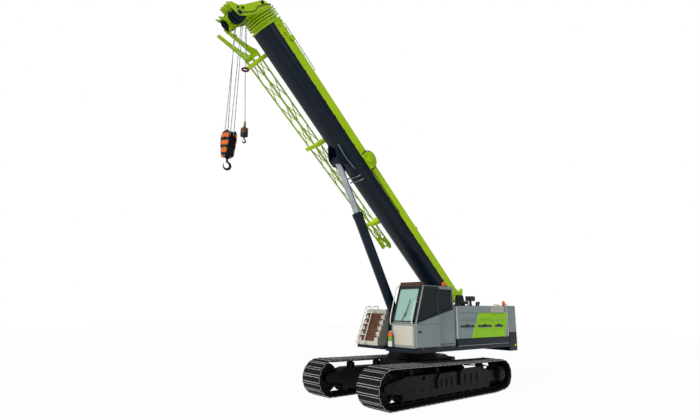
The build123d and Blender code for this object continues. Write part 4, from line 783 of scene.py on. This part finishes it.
# ---- engine house and counterweight --------------------------------------
HOUSE_SIDE, HOOD = 1.4995, 2.9       # the house's side panels and its top
dark_lines, light_lines, cream_bits, hood_bits = (Shape() for _ in range(4))
for number, low, high in ((3, -3.54, -2.88), (2, -2.77, -1.77), (1, -1.66, -0.75)):
    latch, strip = Shape(), Shape()
    latch.block((low + 0.06, high - 0.06), (1.489, 1.503), (2.205, 2.275))
    latch.block(((low + high) / 2 - 0.08, (low + high) / 2 + 0.08), (1.489, 1.51), (2.2, 2.305))
    strip.block((low + 0.06, high - 0.06), (1.489, 1.496), (2.185, 2.197))
    latch.make("left_latch_%d" % number, "left_house_door_%d" % number, black_plastic, "trim_plastic")
    strip.make("left_latch_line_%d" % number, "left_house_door_%d" % number, white_enamel, "white_paint")
for x in (-0.64, -3.86):
    light_lines.block((x, x + 0.035), (HOUSE_SIDE, 1.506), (1.86, 2.88))
light_lines.block((-3.86, -0.62), (HOUSE_SIDE, 1.505), (1.596, 1.606))
for x in (-3.2, -2.55, -1.9, -1.25):
    dark_lines.block((x, x + 0.008), (HOUSE_SIDE, 1.503), (1.565, 1.825))
dark_lines.block((-3.86, -0.62), (HOUSE_SIDE, 1.504), (1.819, 1.829))
cream_bits.block((-3.58, -2.72), (1.46, 1.515), (2.712, 2.962))
cream_bits.block((-3.58, -2.72), (1.15, 1.5), (2.935, 2.965))
for x, h in ((-1.87, 0.3), (-1.45, 0.15)):
    hood_bits.turned((x, 1.2, HOOD), (x, 1.2, 4), [(0, 0.07), (0.06, 0.07), (0.07, 0.045), (h, 0.045)], 24)
    hood_bits.block((x - 0.13, x + 0.13), (1.08, 1.32), (HOOD + h * 0.72, 2.92 + h * 1.22))
for k in range(6):
    hood_bits.block((-2.012, -2.0), (1.09 + 0.04 * k, 1.105 + 0.04 * k), (3.13, 3.26))
hood_bits.turned((-1.08, 1.2, HOOD), (-1.08, 1.2, 4), [(0, 0.13), (0.05, 0.13), (0.07, 0.11), (0.075, 0.01)])
hood_bits.tube([(-2.25, 1.2, 2.93), (-2.25, 1.2, 3.06), (-2.6, 1.1, 3.08), (-2.62, 1.0, 2.93)], 0.035, 0.12)
hood_bits.tube([(-1.62, 0.9, 2.93), (-1.62, 0.9, 3.02), (-2.3, 0.8, 3.03), (-2.3, 0.8, 2.93)], 0.025, 0.1)
for y in (1.05, -1.05, 0.6, -0.6):
    hood_bits.tube([(-4.6, y, 2.98), (-4.6, y, 3.05), (-4.45, y, 3.05), (-4.45, y, 2.98)], 0.012, 0.03)
for side in (1, -1):
    for z in (1.75, 2.5):
        hood_bits.tube([(-4.5, side * 1.43, z), (-4.55, side * 1.46, z), (-4.63, side * 1.38, z),
                        (-4.6, side * 1.34, z)], 0.012, 0.03)
    cream_bits.block((-4.2, -4.08), sorted((side * 0.9, side * 0.98)), (2.98, 3.02))
    hood_bits.bolts([(-4.35, side * 1.5, z) for z in (1.42, 1.85, 2.12, 2.85)], (0, side, 0), 0.02)
dark_lines.make("house_seams", "upperworks", black_rubber, "trim_plastic")
light_lines.make("house_strips", "upperworks", white_enamel, "white_paint")
cream_bits.make("filter_housing", "upperworks", cream_enamel, "white_paint", edge=0.01)
hood_bits.make("hood_fittings", "upperworks", black_plastic, "trim_plastic", edge=0.004)
lug = Shape()
lug.turned((-4.3, 1.5, 1.5), (-4.3, 2, 1.5), [(0, 0.05), (0.012, 0.05), (0.018, 0.03), (0.02, 0.003)], 24)
lug.make("counterweight_lug", "upperworks", lime_enamel, "lime_paint")

# ---- steps ---------------------------------------------------------------
treads, louvres, ladder, handrail = (Shape() for _ in range(4))
STEPS, STEP_FRONT = 5, 1.19
rise, run = (2.78 - 0.23 - 1.611) / STEPS, (STEP_FRONT - 0.76) / STEPS
for k in range(STEPS):
    x, z = STEP_FRONT - run * k, 1.671 + rise * (k + 1)
    treads.block((x - run + 0.002, x + 0.004), (-1.42, -0.6), (z - 0.03, z + 0.012))
    for rib in range(3):
        treads.block((x - 0.026 - 0.024 * rib, x - 0.014 - 0.024 * rib), (-1.42, -0.6), (z + 0.012, z + 0.024))
    treads.plate([(x - 0.02, z - rise + 0.03), (x + 0.004, z - rise + 0.03), (x + 0.004, z - 0.03),
                  (x - 0.02, z - 0.03)], -1.34, -0.7)
for k in range(11):
    z = 1.85 + 0.075 * k
    louvres.plate([(0.02, z), (0.66, z), (0.66, z + 0.045), (0.02, z + 0.045)], -0.521, -0.506)
for y in (-1.46, -1.08):
    ladder.tube([(1.19, y, 1.6), (1.33, y, 1.6), (0.85, y, 2.88), (0.6, y, 2.88), (0.6, y, 2.78)], 0.017, 0.12)
for k in range(3):
    part = (k + 0.8) / 3.4
    x, z = 1.33 - 0.48 * part, 1.6 + 1.28 * part
    ladder.tube([(x, -1.46, z), (x, -1.08, z)], 0.015)
handrail.tube([(0.52, -0.58, 2.78), (0.52, -0.58, 2.9), (-0.15, -0.58, 2.9), (-0.15, -0.58, 2.78)], 0.012, 0.05)
treads.make("step_treads", "upperworks", brown_primer, "brown_paint")
louvres.make("step_louvres", "upperworks", black_plastic, "trim_plastic")
ladder.make("ladder_rails", "upperworks", white_enamel, "white_paint", ("grab_rails",))
handrail.make("step_handrail", "upperworks", grey_enamel, "grey_paint")

# ---- floor, light and camera ---------------------------------------------
floor_mesh = bpy.data.meshes.new("studio_floor")
FLOOR_HALF = 60
floor_mesh.from_pydata([(-FLOOR_HALF, -FLOOR_HALF, 0), (FLOOR_HALF, -FLOOR_HALF, 0), (FLOOR_HALF, FLOOR_HALF, 0),
                        (-FLOOR_HALF, FLOOR_HALF, 0)], [], [(0, 1, 2, 3)])
floor = bpy.data.objects.new("studio_floor", floor_mesh)
bpy.context.collection.objects.link(floor)


def painted_studio_floor():
    """A white floor that shows the crane's soft shadow and is seen as plain white."""
    made = bpy.data.materials.new("studio_white")
    made.use_nodes = True
    made.node_tree.nodes.clear()
    matt = add_node(made, "ShaderNodeBsdfDiffuse", {"Color": (0.55, 0.55, 0.55, 1)})
    white = add_node(made, "ShaderNodeEmission", {"Color": (1, 1, 1, 1), "Strength": 1.0})
    rays = add_node(made, "ShaderNodeLightPath")
    seen = add_node(made, "ShaderNodeMath", {"operation": "MAXIMUM"},
                    {0: rays.outputs["Is Camera Ray"], 1: rays.outputs["Is Glossy Ray"]})
    seen = add_node(made, "ShaderNodeMath", {"operation": "MAXIMUM"},
                    {0: seen.outputs[0], 1: rays.outputs["Is Transmission Ray"]})
    part = add_node(made, "ShaderNodeMath", {"operation": "MULTIPLY", 1: 0.965}, {0: seen.outputs[0]})
    mixed = add_node(made, "ShaderNodeMixShader",
                     links={0: part.outputs[0], 1: matt.outputs[0], 2: white.outputs[0]})
    add_node(made, "ShaderNodeOutputMaterial", links={"Surface": mixed.outputs[0]})
    return made


floor_mesh.materials.append(painted_studio_floor())

world = bpy.data.worlds.new("studio")
bpy.context.scene.world = world
world.use_nodes = True
world.node_tree.nodes.clear()
rays = add_node(world, "ShaderNodeLightPath")
seen = add_node(world, "ShaderNodeMath", {"operation": "MAXIMUM"},
                {0: rays.outputs["Is Camera Ray"], 1: rays.outputs["Is Transmission Ray"]})
sky = add_node(world, "ShaderNodeBackground", {"Color": linear("#E8F0FA"), "Strength": 0.48})
white = add_node(world, "ShaderNodeBackground", {"Color": (1, 1, 1, 1), "Strength": 1.0})
mixed = add_node(world, "ShaderNodeMixShader", links={0: seen.outputs[0], 1: sky.outputs[0], 2: white.outputs[0]})
add_node(world, "ShaderNodeOutputWorld", links={"Surface": mixed.outputs[0]})


def sun(name, towards, strength, angle, colour):
    """A sun that shines towards a direction; its angle in degrees sets how soft its shadow is."""
    data = bpy.data.lights.new(name, "SUN")
    data.energy = strength
    data.angle = math.radians(angle)
    data.color = linear(colour)[:3]
    lamp = bpy.data.objects.new(name, data)
    lamp.rotation_euler = Vector(towards).to_track_quat("-Z", "Y").to_euler()
    bpy.context.collection.objects.link(lamp)


sun("key", (-0.82, -0.1, -0.55), 2.5, 10, "#FFF8EC")
sun("fill", (0.1, -0.9, -0.5), 0.3, 30, "#EAF2FF")

camera_data = bpy.data.cameras.new("camera")
camera_data.sensor_width = 36.0
camera_data.lens = 23.2467429
camera_data.clip_end = 500.0
camera = bpy.data.objects.new("camera", camera_data)
eye, yaw, pitch, roll = (12.51600, 11.04590, 2.74559), -2.28381, 0.220691, 0.012562
forward = Vector((math.cos(pitch) * math.cos(yaw), math.cos(pitch) * math.sin(yaw), math.sin(pitch)))
level = Vector((math.sin(yaw), -math.cos(yaw), 0.0))
upright = level.cross(forward)
right = level * math.cos(roll) + upright * math.sin(roll)
upward = upright * math.cos(roll) - level * math.sin(roll)
turn = Matrix((right, upward, -forward)).transposed()
camera.matrix_world = Matrix.Translation(eye) @ turn.to_4x4()
bpy.context.collection.objects.link(camera)
scene = bpy.context.scene
scene.camera = camera
scene.view_settings.view_transform = "Standard"
